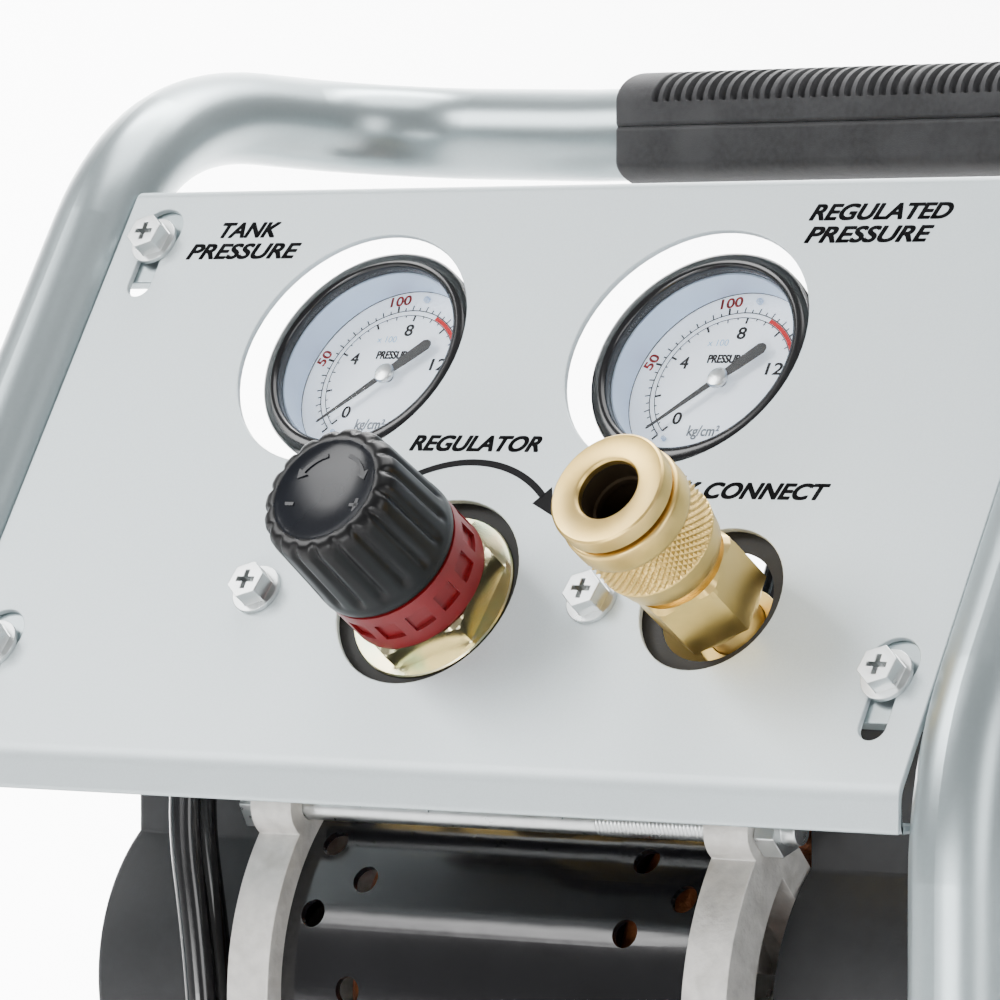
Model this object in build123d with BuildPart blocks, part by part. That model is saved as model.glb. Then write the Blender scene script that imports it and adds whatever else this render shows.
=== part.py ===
from build123d import *
import math
import os

os.makedirs("parts", exist_ok=True)

# Portable "hotdog" air compressor: a round horizontal tank with an oil-free
# twin-cylinder pump on top, inside a tubular roll cage with a sloping front
# control panel and a top carrying handle.
# X is the width (right positive), Y the depth (front is -Y), Z up, floor z = 0.

# ---------------------------------------------------------------- dimensions
tube_r = 11.2            # cage tube outer radius
tube_wall = 1.6
cage_x = 141.4           # leg axes from the centre plane
front_y = -167.1         # front leg axis
mid_y = 8.9              # handle axis, and where the skid halves meet
rear_y = 184.8           # rear leg axis
skid_z = 23.0            # skid axis above the floor
rail_z = 324.0           # upper side rail axis
rear_bar_z = 236.0       # rear crossbar axis

panel_o = (0.0, -118.0, 377.0)   # panel datum: midway height of the two gauges
panel_tilt = 32.0                # panel leans back from the vertical
panel_half_w = 130.2
panel_top_q = 44.1
panel_t = 1.5
gauge_x = (-50.3, 40.5)
gauge_hole_r = 30.0
reg_x, reg_q = -4.6, -62.3       # regulator axis on the panel
reg_hole_r = 22.85
cpl_x, cpl_q = 69.3, -62.3       # quick coupler axis on the panel
cpl_hole_r = 17.1

tank_r = 62.5
tank_wall = 2.0
tank_z = 91.1
tank_y0, tank_y1 = -130.0, 140.0  # ends of the straight shell
dome_h = 31.0

mot_y, mot_z = -82.0, 232.0      # pump shaft axis (along X)
shell_r = 55.0
shell_half = 55.5
ring_r = 60.0
ring_t = 11.5
bolt_y, bolt_z = 44.0, 42.0      # tie-bolt offsets from the shaft
shaft_r = 6.0
cyl_x = 89.0                     # cylinder axes
bore_r = 17.0
crank_e = 4.5                    # eccentric throw
deck_z = 159.0

c32 = math.cos(math.radians(panel_tilt))
s32 = math.sin(math.radians(panel_tilt))


def W(x, q, n):
    """Point on the panel's own axes (x across, q up the slope, n outwards)."""
    return (panel_o[0] + x, panel_o[1] + q * s32 - n * c32,
            panel_o[2] + q * c32 + n * s32)


def panel(n=0.0):
    """Plane parallel to the panel face, n in front of it; local x, y are x, q."""
    return Plane(origin=W(0, 0, n), x_dir=(1, 0, 0), z_dir=(0, -c32, s32))


def px(x):
    """Plane across the width at x; local axes are Y, Z; normal +X."""
    return Plane(origin=(x, 0, 0), x_dir=(0, 1, 0), z_dir=(1, 0, 0))


def py(y):
    """Plane across the depth at y; local axes are X, Z; normal -Y."""
    return Plane(origin=(0, y, 0), x_dir=(1, 0, 0), z_dir=(0, -1, 0))


def pz(z):
    return Plane.XY.offset(z)


def save(bp, name):
    bp.part.label = name
    export_step(bp.part, "parts/" + name + ".step")


def mx(p):
    return (-p[0], p[1], p[2])


tank_axis = Axis((0, 0, tank_z), (0, 1, 0))
mot_axis = Axis((0, mot_y, mot_z), (1, 0, 0))

# ---------------------------------------------------------------- roll cage
# Front hoop: one tube from the left skid up the front leg, back along the
# slope beside the panel, over the compound elbow to the transverse handle,
# and down the other side.
knee = (-cage_x, front_y, W(0, -99.0, -4.0)[2])
slope_top = (-cage_x, -86.8, 419.4)
elbow = (-145.3, -52.5, 433.7)
shoulder = (-135.0, mid_y, 430.6)
bar_in = (-72.0, mid_y, 428.6)
left_pts = [(-cage_x, mid_y, skid_z), (-cage_x, front_y, skid_z), knee, slope_top,
            elbow, shoulder, bar_in]
right_pts = [mx(p) for p in reversed(left_pts)]
hoop_r = [60, 74, 56, 69, 36, 200]

with BuildPart() as frame_hoop_front:
    with BuildLine():
        hoop_path = FilletPolyline(*left_pts, *right_pts, radius=hoop_r + hoop_r[::-1])
    with BuildSketch(Plane(origin=hoop_path @ 0, z_dir=hoop_path % 0)):
        Circle(tube_r)
        Circle(tube_r - tube_wall, mode=Mode.SUBTRACT)
    sweep()
save(frame_hoop_front, "frame_hoop_front")

slope_dir = Vector(0, slope_top[1] - knee[1], slope_top[2] - knee[2]).normalized()

# Rear loops: skid half, rear leg and upper rail, coped on to the front leg.
with BuildPart() as rear_loops:
    with BuildLine():
        loop_path = FilletPolyline((cage_x, mid_y, skid_z), (cage_x, rear_y, skid_z),
                                   (cage_x, rear_y, rail_z), (cage_x, -146.0, rail_z),
                                   radius=[60, 60])
    with BuildSketch(Plane(origin=loop_path @ 0, z_dir=loop_path % 0)):
        Circle(tube_r)
        Circle(tube_r - tube_wall, mode=Mode.SUBTRACT)
    sweep()
    with BuildSketch(Plane(origin=Vector(cage_x, knee[1], knee[2]) - slope_dir * 40,
                           z_dir=slope_dir)):
        Circle(tube_r + 0.05)
    extrude(amount=140, mode=Mode.SUBTRACT)
    mirror(about=Plane.YZ)
save(rear_loops, "rear_loops")

# Rear crossbar between the rear legs, coped at both ends.
with BuildPart() as rear_crossbar:
    with BuildSketch(px(-cage_x)):
        with Locations((rear_y, rear_bar_z)):
            Circle(tube_r)
            Circle(tube_r - tube_wall, mode=Mode.SUBTRACT)
    extrude(amount=2 * cage_x)
    with BuildSketch(pz(rear_bar_z - 30)):
        with Locations((-cage_x, rear_y), (cage_x, rear_y)):
            Circle(tube_r + 0.05)
    extrude(amount=60, mode=Mode.SUBTRACT)
save(rear_crossbar, "rear_crossbar")

# Two flat bars join the skids and carry the tank saddles.
bar_ys = (-58.0, 78.0)
with BuildPart() as base_crossbars:
    with BuildSketch(pz(skid_z - 2.5)):
        with Locations(*[(0, y) for y in bar_ys]):
            Rectangle(2 * cage_x, 40)
    extrude(amount=5)
    with BuildSketch(py(170)):
        with Locations((-cage_x, skid_z), (cage_x, skid_z)):
            Circle(tube_r + 0.05)
    extrude(amount=340, mode=Mode.SUBTRACT)
save(base_crossbars, "base_crossbars")

# Rubber feet: split sleeves round the skids, flat underneath.
foot_ys = (-94.0, 111.5)
with BuildPart() as rubber_feet:
    for sx in (-1, 1):
        for fy in foot_ys:
            with BuildSketch(py(fy + 13)):
                with Locations((sx * cage_x, skid_z)):
                    Circle(tube_r + 3.4)
                with Locations((sx * cage_x, skid_z / 2)):
                    Rectangle(22, skid_z)
                with Locations((sx * cage_x, skid_z)):
                    Circle(tube_r + 0.02, mode=Mode.SUBTRACT)
                with Locations((-sx * 6.6 + sx * cage_x, skid_z + 9)):
                    Rectangle(12.6, 30, mode=Mode.SUBTRACT)
            extrude(amount=26)
save(rubber_feet, "rubber_feet")

# Handle grip: two rubber half shells, flat in front and behind, with a seam
# just above mid height.
grip_x0, grip_x1 = -57.2, 68.0
bar_z = bar_in[2]
for gname, lo, hi in (("handle_grip_upper", 1.55, 30), ("handle_grip_lower", -30, 1.45)):
    with BuildPart() as grip:
        with BuildSketch(px(grip_x0)):
            with Locations((mid_y, bar_z + 0.9)):
                RectangleRounded(27, 27.8, 7.5)
            with Locations((mid_y, bar_z)):
                Circle(tube_r + 0.03, mode=Mode.SUBTRACT)
            with Locations((mid_y, bar_z + (lo + hi) / 2)):
                Rectangle(60, hi - lo, mode=Mode.INTERSECT)
        extrude(amount=grip_x1 - grip_x0)
    save(grip, gname)

# ---------------------------------------------------------------- air tank
with BuildPart() as tank_shell:
    with BuildSketch(py(tank_y1)):
        with Locations((0, tank_z)):
            Circle(tank_r)
            Circle(tank_r - tank_wall, mode=Mode.SUBTRACT)
    extrude(amount=tank_y1 - tank_y0)
    # ports: check valve, switch, relief valve on top; drain below; hoses at the side
    with BuildSketch(pz(tank_z)):
        with Locations((0, 8), (0, 62), (0, 125)):
            Circle(5.0)
    extrude(amount=80, mode=Mode.SUBTRACT)
    with BuildSketch(pz(tank_z)):
        with Locations((0, 20)):
            Circle(5.05)
    extrude(amount=-80, mode=Mode.SUBTRACT)
save(tank_shell, "tank_shell")

with BuildPart() as tank_domes:
    with BuildSketch(px(0)):
        with BuildLine():
            o1 = EllipticalCenterArc((tank_y1, tank_z), dome_h, tank_r, start_angle=0, arc_size=90)
            i1 = EllipticalCenterArc((tank_y1, tank_z), dome_h - tank_wall, tank_r - tank_wall,
                                     start_angle=0, arc_size=90)
            Line(o1 @ 0, i1 @ 0)
            Line(o1 @ 1, i1 @ 1)
        make_face()
    revolve(axis=tank_axis)
    mirror(about=Plane.XZ.offset(-(tank_y0 + tank_y1) / 2))
save(tank_domes, "tank_domes")

with BuildPart() as tank_bungs:
    with BuildSketch(pz(tank_z)):
        with Locations((0, 8), (0, 62), (0, 125)):
            Circle(11)
            Circle(5.9, mode=Mode.SUBTRACT)
    extrude(amount=tank_r + 6)
    with BuildSketch(pz(tank_z)):
        with Locations((0, 20)):
            Circle(9)
            Circle(5.1, mode=Mode.SUBTRACT)
    extrude(amount=-(tank_r + 3))
    # side elbows for the two small hoses, open upwards
    with BuildSketch(px(-40)):
        with Locations((-118, tank_z + 16), (-98, tank_z + 16)):
            Circle(6.5)
    extrude(amount=-36)
    with BuildSketch(pz(tank_z + 10)):
        with Locations((-76, -118), (-76, -98)):
            Circle(6.5)
    extrude(amount=20.9)
    with BuildSketch(py(170)):
        with Locations((0, tank_z)):
            Circle(tank_r + 0.02)
    extrude(amount=340, mode=Mode.SUBTRACT)
save(tank_bungs, "tank_bungs")

# Saddles: bent strap cradles welded between tank and crossbars.
with BuildPart() as tank_saddles:
    for y in bar_ys:
        with BuildSketch(py(y + 15)):
            with Locations((0, tank_z)):
                Circle(tank_r + 3.0)
            with Locations((-39, skid_z + 2.5 + 12), (39, skid_z + 2.5 + 12)):
                Rectangle(4, 24)
            with Locations((0, tank_z + 20)):
                Rectangle(160, 120, mode=Mode.SUBTRACT)
            with Locations((0, tank_z)):
                Circle(tank_r + 0.03, mode=Mode.SUBTRACT)
        extrude(amount=30)
save(tank_saddles, "tank_saddles")

# Ball-type drain valve under the tank, with a quarter-turn lever.
with BuildPart() as drain_valve_body:
    with BuildSketch(pz(17)):
        with Locations((0, 20)):
            Circle(5.0)
    extrude(amount=16)
    with BuildSketch(px(-8)):
        with Locations((20, 16)):
            Rectangle(14, 14)
    extrude(amount=24)
    with BuildSketch(px(16)):
        with Locations((20, 16)):
            Circle(6)
    extrude(amount=36)
    with BuildSketch(px(27)):
        with Locations((20, 16)):
            RegularPolygon(9, 8, rotation=22.5)
    extrude(amount=16)
    with BuildSketch(pz(16)):
        with Locations((35, 20)):
            Circle(3)
    extrude(amount=12.5)
    with BuildSketch(px(53)):
        with Locations((20, 16)):
            Circle(3)
    extrude(amount=-14, mode=Mode.SUBTRACT)
save(drain_valve_body, "drain_valve_body")

with BuildPart() as drain_lever:
    with BuildSketch(pz(25.5)):
        with Locations((35, 20)):
            Circle(6.5)
        with Locations((35, 35)):
            Rectangle(9, 30)
        with Locations((35, 50)):
            Circle(4.5)
        with Locations((35, 20)):
            Circle(3.05, mode=Mode.SUBTRACT)
    extrude(amount=2.2)
save(drain_lever, "drain_lever")

# ---------------------------------------------------------------- pump deck
with BuildPart() as motor_deck:
    with BuildSketch(pz(deck_z)):
        with Locations((0, mot_y)):
            RectangleRounded(138, 112, 8)
        with Locations((-45, -10)):
            RectangleRounded(48, 52, 8)
        with Locations(*[(sx * 61, mot_y + sy * 44) for sx in (-1, 1) for sy in (-1, 1)]):
            Circle(3.2, mode=Mode.SUBTRACT)
    extrude(amount=3)
    for y in (mot_y - 50, mot_y + 53):
        with BuildSketch(py(y)):
            with Locations((0, deck_z - 18)):
                Rectangle(108, 36)
        extrude(amount=3)
    with BuildSketch(py(170)):
        with Locations((0, tank_z)):
            Circle(tank_r + 0.05)
    extrude(amount=340, mode=Mode.SUBTRACT)
save(motor_deck, "motor_deck")

iso_z0, iso_z1 = deck_z + 3, deck_z + 15
iso_pts = [(sx * 61, mot_y + sy * 46) for sx in (-1, 1) for sy in (-1, 1)]
with BuildPart() as rubber_isolators:
    with BuildSketch(pz(iso_z0)):
        with Locations(*iso_pts):
            Circle(8.5)
    extrude(amount=iso_z1 - iso_z0)
    with BuildSketch(pz(iso_z0 + 4)):
        with Locations(*iso_pts):
            Circle(9.5)
            Circle(7.0, mode=Mode.SUBTRACT)
    extrude(amount=4, mode=Mode.SUBTRACT)
save(rubber_isolators, "rubber_isolators")

# ---------------------------------------------------------------- motor
vent_sets = ((-49.0, (20, 38)), (35.5, (20, 38)), (-37.0, (2.5, 29)), (48.5, (2.5, 29)))
with BuildPart() as motor_shell:
    with BuildSketch(px(-shell_half)):
        with Locations((mot_y, mot_z)):
            Circle(shell_r)
            Circle(shell_r - 1.6, mode=Mode.SUBTRACT)
    extrude(amount=2 * shell_half)
    for vx, angs in vent_sets:
        for k in range(4):
            for a in angs:
                t = math.radians(180 - a - 90 * k)
                d = (0, math.cos(t), math.sin(t))
                with BuildSketch(Plane(origin=(vx, mot_y + 50 * d[1], mot_z + 50 * d[2]), z_dir=d)):
                    Circle(3.2)
                extrude(amount=10, mode=Mode.SUBTRACT)
save(motor_shell, "motor_shell")

bolt_pts = [(mot_y + sy * bolt_y, mot_z + sz * bolt_z) for sy in (-1, 1) for sz in (-1, 1)]
with BuildPart() as end_brackets:
    with BuildSketch(px(shell_half)):
        with Locations((mot_y, mot_z)):
            Circle(ring_r)
        with Locations(*bolt_pts):
            Circle(7.5)
        for sy in (-1, 1):
            with Locations((mot_y + sy * 46, (iso_z1 + mot_z - 28) / 2)):
                Rectangle(20, mot_z - 28 - iso_z1)
        with Locations((mot_y, mot_z)):
            Circle(49, mode=Mode.SUBTRACT)
            Circle(20)
            for k in range(4):
                with Locations(Location((0, 0, 0), (0, 0, 45 + 90 * k))):
                    with Locations((34, 0)):
                        Rectangle(34, 9)
            Circle(16.0, mode=Mode.SUBTRACT)
    extrude(amount=ring_t)
    # recess on the inner side takes the shell's end; the holes take the tie bolts
    with BuildSketch(px(shell_half)):
        with Locations(*bolt_pts):
            Circle(3.1)
    extrude(amount=ring_t, mode=Mode.SUBTRACT)
    mirror(about=Plane.YZ)
save(end_brackets, "end_brackets")

with BuildPart() as stator_core:
    with BuildSketch(px(-28)):
        with Locations((mot_y, mot_z)):
            Circle(shell_r - 1.65)
            Circle(32.6, mode=Mode.SUBTRACT)
            with PolarLocations(41, 12):
                Rectangle(9, 6, mode=Mode.SUBTRACT)
    extrude(amount=56)
save(stator_core, "stator_core")

with BuildPart() as stator_windings:
    for x0 in (-43, 28.1):
        with BuildSketch(px(x0)):
            with Locations((mot_y, mot_z)):
                Circle(47)
                Circle(34, mode=Mode.SUBTRACT)
        extrude(amount=14.9)
    fillet(stator_windings.edges().filter_by(GeomType.CIRCLE), radius=3)
save(stator_windings, "stator_windings")

with BuildPart() as rotor_core:
    with BuildSketch(px(-28)):
        with Locations((mot_y, mot_z)):
            Circle(32.2)
            Circle(shaft_r, mode=Mode.SUBTRACT)
    extrude(amount=56)
    for x0 in (-34, 28):
        with BuildSketch(px(x0)):
            with Locations((mot_y, mot_z)):
                Circle(30)
                Circle(18, mode=Mode.SUBTRACT)
        extrude(amount=6)
save(rotor_core, "rotor_core")

with BuildPart() as motor_shaft:
    with BuildSketch(px(-114)):
        with Locations((mot_y, mot_z)):
            Circle(shaft_r)
    extrude(amount=228)
    chamfer(motor_shaft.edges().filter_by(GeomType.CIRCLE), 0.8)
save(motor_shaft, "motor_shaft")

with BuildPart() as bearings:
    for x0 in (-66.0, 56.0):
        with BuildSketch(px(x0)):
            with Locations((mot_y, mot_z)):
                Circle(15.98)
                Circle(shaft_r + 0.05, mode=Mode.SUBTRACT)
        extrude(amount=10)
save(bearings, "bearings")

# Through bolts hold the two brackets on the shell: heads left, nuts right.
bolt_x0, bolt_x1 = -(shell_half + ring_t), shell_half + ring_t
with BuildPart() as tie_bolts:
    with BuildSketch(px(bolt_x0 - 0.1)):
        with Locations(*bolt_pts):
            Circle(3.0)
    extrude(amount=bolt_x1 - bolt_x0 + 9)
    with BuildSketch(px(bolt_x0 - 0.1)):
        with Locations(*bolt_pts):
            RegularPolygon(5.0, 6, major_radius=False)
    extrude(amount=-4.5)
    with BuildSketch(px(bolt_x1 + 0.1)):
        with Locations(*bolt_pts):
            RegularPolygon(5.0, 6, major_radius=False, rotation=15)
    extrude(amount=5.2)
save(tie_bolts, "tie_bolts")

# Eccentrics with balance weights, one at each end of the shaft.
with BuildPart() as eccentrics:
    with BuildSketch(px(cyl_x - 5)):
        with Locations((mot_y, mot_z + crank_e)):
            Circle(11)
        with Locations((mot_y, mot_z)):
            Circle(shaft_r, mode=Mode.SUBTRACT)
    extrude(amount=9.5)
    with BuildSketch(px(cyl_x - 12)):
        with Locations((mot_y, mot_z)):
            Circle(22)
        with Locations((mot_y, mot_z + 12)):
            Rectangle(60, 28, mode=Mode.SUBTRACT)
        with Locations((mot_y, mot_z)):
            Circle(10)
            Circle(shaft_r, mode=Mode.SUBTRACT)
    extrude(amount=7)
    mirror(about=Plane.YZ)
save(eccentrics, "eccentrics")

# Wobble pistons: rod and disc in one piece. The big eye clears the eccentric.
piston_top = 290.0
for pname, sx in (("piston_right", 1), ("piston_left", -1)):
    with BuildPart() as piston:
        with BuildSketch(px(cyl_x - 3.5)):
            with Locations((mot_y, mot_z + crank_e)):
                Circle(24.5)
            with Locations((mot_y, mot_z + 39)):
                Rectangle(11, 36)
            with Locations((mot_y, mot_z + crank_e)):
                Circle(20.8, mode=Mode.SUBTRACT)
        extrude(amount=7)
        with BuildSketch(pz(piston_top - 5)):
            with Locations((cyl_x, mot_y)):
                Circle(bore_r - 0.06)
        extrude(amount=5)
        if sx < 0:
            mirror(about=Plane.YZ, mode=Mode.REPLACE)
    save(piston, pname)

# Cylinder castings, each with an arm to its end bracket.
cyl_z0, cyl_z1 = 269.0, 291.0
with BuildPart() as cylinders:
    with BuildSketch(pz(cyl_z0)):
        with Locations((cyl_x, mot_y)):
            Circle(bore_r + 3.2)
        with Locations((73.5, mot_y)):
            Rectangle(13, 26)
    extrude(amount=cyl_z1 - cyl_z0)
    for k in range(4):
        with BuildSketch(pz(cyl_z0 + 3 + 5 * k)):
            with Locations((cyl_x, mot_y)):
                Circle(bore_r + 3.25)
                Circle(bore_r + 1.6, mode=Mode.SUBTRACT)
            with Locations((73.5, mot_y)):
                Rectangle(13, 26, mode=Mode.SUBTRACT)
        extrude(amount=2, mode=Mode.SUBTRACT)
    with BuildSketch(pz(cyl_z0)):
        with Locations((cyl_x, mot_y)):
            Circle(bore_r)
    extrude(amount=cyl_z1 - cyl_z0, mode=Mode.SUBTRACT)
    mirror(about=Plane.YZ)
save(cylinders, "cylinders")

head_z0, head_z1 = cyl_z1, 303.0
with BuildPart() as cylinder_heads:
    with BuildSketch(pz(head_z0)):
        with Locations((cyl_x, mot_y)):
            RectangleRounded(38, 44, 6)
    extrude(amount=head_z1 - head_z0)
    with BuildSketch(pz(head_z0 + 5)):
        with Locations(*[(cyl_x + dx, mot_y) for dx in (-13.5, -4.5, 4.5, 13.5)]):
            Rectangle(4, 50)
    extrude(amount=10, mode=Mode.SUBTRACT)
    # outlet boss at the back takes the link tube
    with BuildSketch(py(mot_y + 21)):
        with Locations((cyl_x - 9, head_z0 + 6)):
            Circle(5.5)
            Circle(3.1, mode=Mode.SUBTRACT)
    extrude(amount=-10)
    with BuildSketch(py(mot_y + 32)):
        with Locations((cyl_x - 9, head_z0 + 6)):
            Circle(3.1)
    extrude(amount=14, mode=Mode.SUBTRACT)
    mirror(about=Plane.YZ)
save(cylinder_heads, "cylinder_heads")

# Cooling fans, pressed on the shaft ends.
fan_x0, fan_x1 = 100.0, 113.0
with BuildPart() as cooling_fans:
    with BuildSketch(px(fan_x0)):
        with Locations((mot_y, mot_z)):
            Circle(12)
            Circle(shaft_r, mode=Mode.SUBTRACT)
    extrude(amount=fan_x1 - fan_x0)
    with BuildSketch(px(fan_x0)):
        with Locations((mot_y, mot_z)):
            with PolarLocations(23.5, 9):
                with Locations(Location((0, 0, 0), (0, 0, 25))):
                    Rectangle(26, 2.4)
            Circle(10.5, mode=Mode.SUBTRACT)
    extrude(amount=fan_x1 - fan_x0 - 2)
    with BuildSketch(px(fan_x0)):
        with Locations((mot_y, mot_z)):
            Circle(36)
            Circle(shaft_r, mode=Mode.SUBTRACT)
    extrude(amount=1.6)
    mirror(about=Plane.YZ)
save(cooling_fans, "cooling_fans")

# Fan covers: a round drum with a square neck over the cylinder, slotted end.
cov_x0, cov_x1 = shell_half + ring_t + 0.6, 119.5
neck_y = 27.5
neck_z = 307.5
for cname, sx in (("fan_cover_right", 1), ("fan_cover_left", -1)):
    with BuildPart() as cover:
        with BuildSketch(px(cov_x0)):
            with Locations((mot_y, mot_z)):
                Circle(43)
            with Locations((mot_y, (mot_z + neck_z) / 2)):
                Rectangle(2 * neck_y, neck_z - mot_z)
        extrude(amount=cov_x1 - cov_x0)
        fillet(cover.edges().filter_by(lambda e: abs(e.center().X - cov_x1) < 0.1), radius=2.5)
        with BuildSketch(px(cov_x0)):
            with Locations((mot_y, mot_z)):
                Circle(40.8)
            with Locations((mot_y, (mot_z + neck_z - 2.2) / 2)):
                Rectangle(2 * neck_y - 4.4, neck_z - 2.2 - mot_z)
        extrude(amount=cov_x1 - cov_x0 - 2.4, mode=Mode.SUBTRACT)
        # inlet slots in the end face
        with BuildSketch(px(cov_x1 - 4)):
            with Locations((mot_y, mot_z)):
                for r, n in ((15, 6), (24, 10), (33, 14)):
                    with PolarLocations(r, n):
                        with Locations(Location((0, 0, 0), (0, 0, 90))):
                            SlotOverall(9, 3.4)
        extrude(amount=6, mode=Mode.SUBTRACT)
        # vent slots through the neck's end face
        with BuildSketch(px(cov_x1 - 4)):
            with Locations(*[(mot_y, z) for z in (282, 289, 296)]):
                SlotOverall(38, 3.2)
        extrude(amount=6, mode=Mode.SUBTRACT)
        # outlet for the link tube at the back of the neck
        with BuildSketch(py(mot_y + neck_y + 3)):
            with Locations((cyl_x - 9, head_z0 + 6)):
                Circle(6.0)
            with Locations((cyl_x - 17, head_z0 + 6)):
                Rectangle(16, 12)
        extrude(amount=6, mode=Mode.SUBTRACT)
        if sx < 0:
            mirror(about=Plane.YZ, mode=Mode.REPLACE)
    save(cover, cname)

# Link tube joins both heads behind the motor; the delivery tube drops from
# its middle tee to the check valve on the tank.
lt_x = cyl_x - 9
lt_z = head_z0 + 6
with BuildPart() as head_link_tube:
    with BuildLine():
        lt = FilletPolyline((-lt_x, mot_y + 23, lt_z), (-lt_x, mot_y + 48, lt_z),
                            (lt_x, mot_y + 48, lt_z), (lt_x, mot_y + 23, lt_z), radius=[14, 14])
    with BuildSketch(Plane(origin=lt @ 0, z_dir=lt % 0)):
        Circle(3.0)
    sweep()
    with BuildSketch(px(-9)):
        with Locations((mot_y + 48, lt_z)):
            Circle(6)
    extrude(amount=18)
    with BuildSketch(py(mot_y + 48)):
        with Locations((0, lt_z)):
            Circle(5)
    extrude(amount=-10)
save(head_link_tube, "head_link_tube")

with BuildPart() as delivery_tube:
    with BuildLine():
        dt = FilletPolyline((0, mot_y + 58, lt_z), (0, 8, lt_z), (0, 8, 186), radius=[20])
    with BuildSketch(Plane(origin=dt @ 0, z_dir=dt % 0)):
        Circle(4.0)
        Circle(3.0, mode=Mode.SUBTRACT)
    sweep()
save(delivery_tube, "delivery_tube")

with BuildPart() as check_valve:
    with BuildSketch(pz(tank_z + tank_r + 0.5)):
        with Locations((0, 8)):
            Circle(5.8)
    extrude(amount=8)
    with BuildSketch(pz(tank_z + tank_r + 6.2)):
        with Locations((0, 8)):
            RegularPolygon(8.5, 6, major_radius=False)
    extrude(amount=14)
    with BuildSketch(pz(tank_z + tank_r + 20)):
        with Locations((0, 8)):
            Circle(6.5)
    extrude(amount=12)
    with BuildSketch(pz(174)):
        with Locations((0, 8)):
            Circle(4.05)
    extrude(amount=20, mode=Mode.SUBTRACT)
    with BuildSketch(px(0)):
        with Locations((8, 170)):
            Circle(3.5)
    extrude(amount=14)
save(check_valve, "check_valve")

# ---------------------------------------------------------------- panel
# Sheet section on the slope: short return at the top, and a flange that
# turns to the vertical along the bottom with a hidden lip.
flange = 9.0
q_b = -105.6
fq, fn = q_b - flange * c32, -flange * s32
lq, ln = fq + 7 * s32, fn - 7 * c32
sec = Plane(origin=W(-panel_half_w, 0, 0), x_dir=(0, s32, c32), z_dir=(1, 0, 0))
# on this section plane local x is q and local y is n times -1 or +1
n_sign = 1.0 if (sec.from_local_coords((0, 1)) - sec.origin).dot(Vector(0, -c32, s32)) > 0 else -1.0


def qn(q, n):
    return (q, n_sign * n)


with BuildPart() as control_panel:
    with BuildSketch(sec):
        with BuildLine():
            FilletPolyline(qn(panel_top_q - 0.75, -8), qn(panel_top_q - 0.75, -0.75),
                           qn(q_b, -0.75), qn(fq, fn - 0.75), qn(lq, ln - 0.75),
                           radius=[2.2, 7.0, 1.8])
            offset(amount=0.75, side=Side.BOTH)
        make_face()
    extrude(amount=2 * panel_half_w)
    with BuildSketch(panel(3)):
        with Locations((gauge_x[0], 0), (gauge_x[1], 0)):
            Circle(gauge_hole_r)
        with Locations((reg_x, reg_q)):
            Circle(reg_hole_r)
        with Locations((cpl_x, cpl_q)):
            Circle(cpl_hole_r)
        with Locations((-50.5, -63.5), (39.7, -63.5)):
            Circle(2.7)
        for sx in (-1, 1):
            for sq in (28.7, -79.4):
                with Locations((sx * 119.0, sq + 3)):
                    Circle(6.25)
                with Locations((sx * 119.0, sq - 5.5)):
                    Rectangle(6.5, 12)
                with Locations((sx * 119.0, sq - 11.45)):
                    Circle(3.25)
    extrude(amount=-6, mode=Mode.SUBTRACT)
save(control_panel, "control_panel")

tab_pts = [(sx * 119.6, q) for sx in (-1, 1) for q in (28.7, -79.4)]
with BuildPart() as panel_tabs:
    with BuildSketch(panel(-1.55)):
        with Locations(*tab_pts):
            Rectangle(24, 20)
        with Locations(*[(sx * 119.0, q) for sx in (-1, 1) for q in (28.7, -79.4)]):
            Circle(2.6, mode=Mode.SUBTRACT)
    extrude(amount=-3)
    # cope to the sloping legs
    for sx in (-1, 1):
        with BuildSketch(Plane(origin=W(sx * cage_x, -110, -4.0), z_dir=slope_dir)):
            Circle(tube_r + 0.03)
        extrude(amount=180, mode=Mode.SUBTRACT)
save(panel_tabs, "panel_tabs")

# Flanged hexagon screws: four at the corners on the tabs, two on the bracket.
scr_pts = [(sx * 119.0, q) for sx in (-1, 1) for q in (28.7, -79.4)] + [(-50.5, -63.5), (39.7, -63.5)]
with BuildPart() as panel_screws:
    with BuildSketch(panel(-7.0)):
        with Locations(*scr_pts):
            Circle(2.5)
    extrude(amount=7.05)
    with BuildSketch(panel(0.05)):
        with Locations(*scr_pts):
            Circle(5.9)
    extrude(amount=1.2)
    with BuildSketch(panel(1.2)):
        with Locations(*scr_pts):
            RegularPolygon(4.0, 6, major_radius=False, rotation=20)
    extrude(amount=4.2)
    with BuildSketch(panel(5.4)):
        with Locations(*scr_pts):
            Rectangle(4.6, 1.1)
            Rectangle(1.1, 4.6)
    extrude(amount=-2.4, mode=Mode.SUBTRACT)
save(panel_screws, "panel_screws")

# ---------------------------------------------------------------- gauges
gau_c = ((gauge_x[0] - 2.0, 3.0), (gauge_x[1] - 1.5, 2.0))
with BuildPart() as gauge_cases:
    with BuildSketch(panel(-7)):
        with Locations(*gau_c):
            Circle(27.2)
    extrude(amount=-24)
    with BuildSketch(panel(-7)):
        with Locations(*gau_c):
            Circle(23.2)
    extrude(amount=-22, mode=Mode.SUBTRACT)
    with BuildSketch(panel(-31)):
        with Locations(*gau_c):
            RegularPolygon(6.0, 4, major_radius=False)
    extrude(amount=-10)
save(gauge_cases, "gauge_cases")

with BuildPart() as gauge_dials:
    with BuildSketch(panel(-18)):
        with Locations(*gau_c):
            Circle(23.1)
            Circle(1.2, mode=Mode.SUBTRACT)
    extrude(amount=-1)
save(gauge_dials, "gauge_dials")

with BuildPart() as gauge_lenses:
    with BuildSketch(panel(-8.4)):
        with Locations(*gau_c):
            Circle(23.1)
    extrude(amount=-1.4)
save(gauge_lenses, "gauge_lenses")

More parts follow.
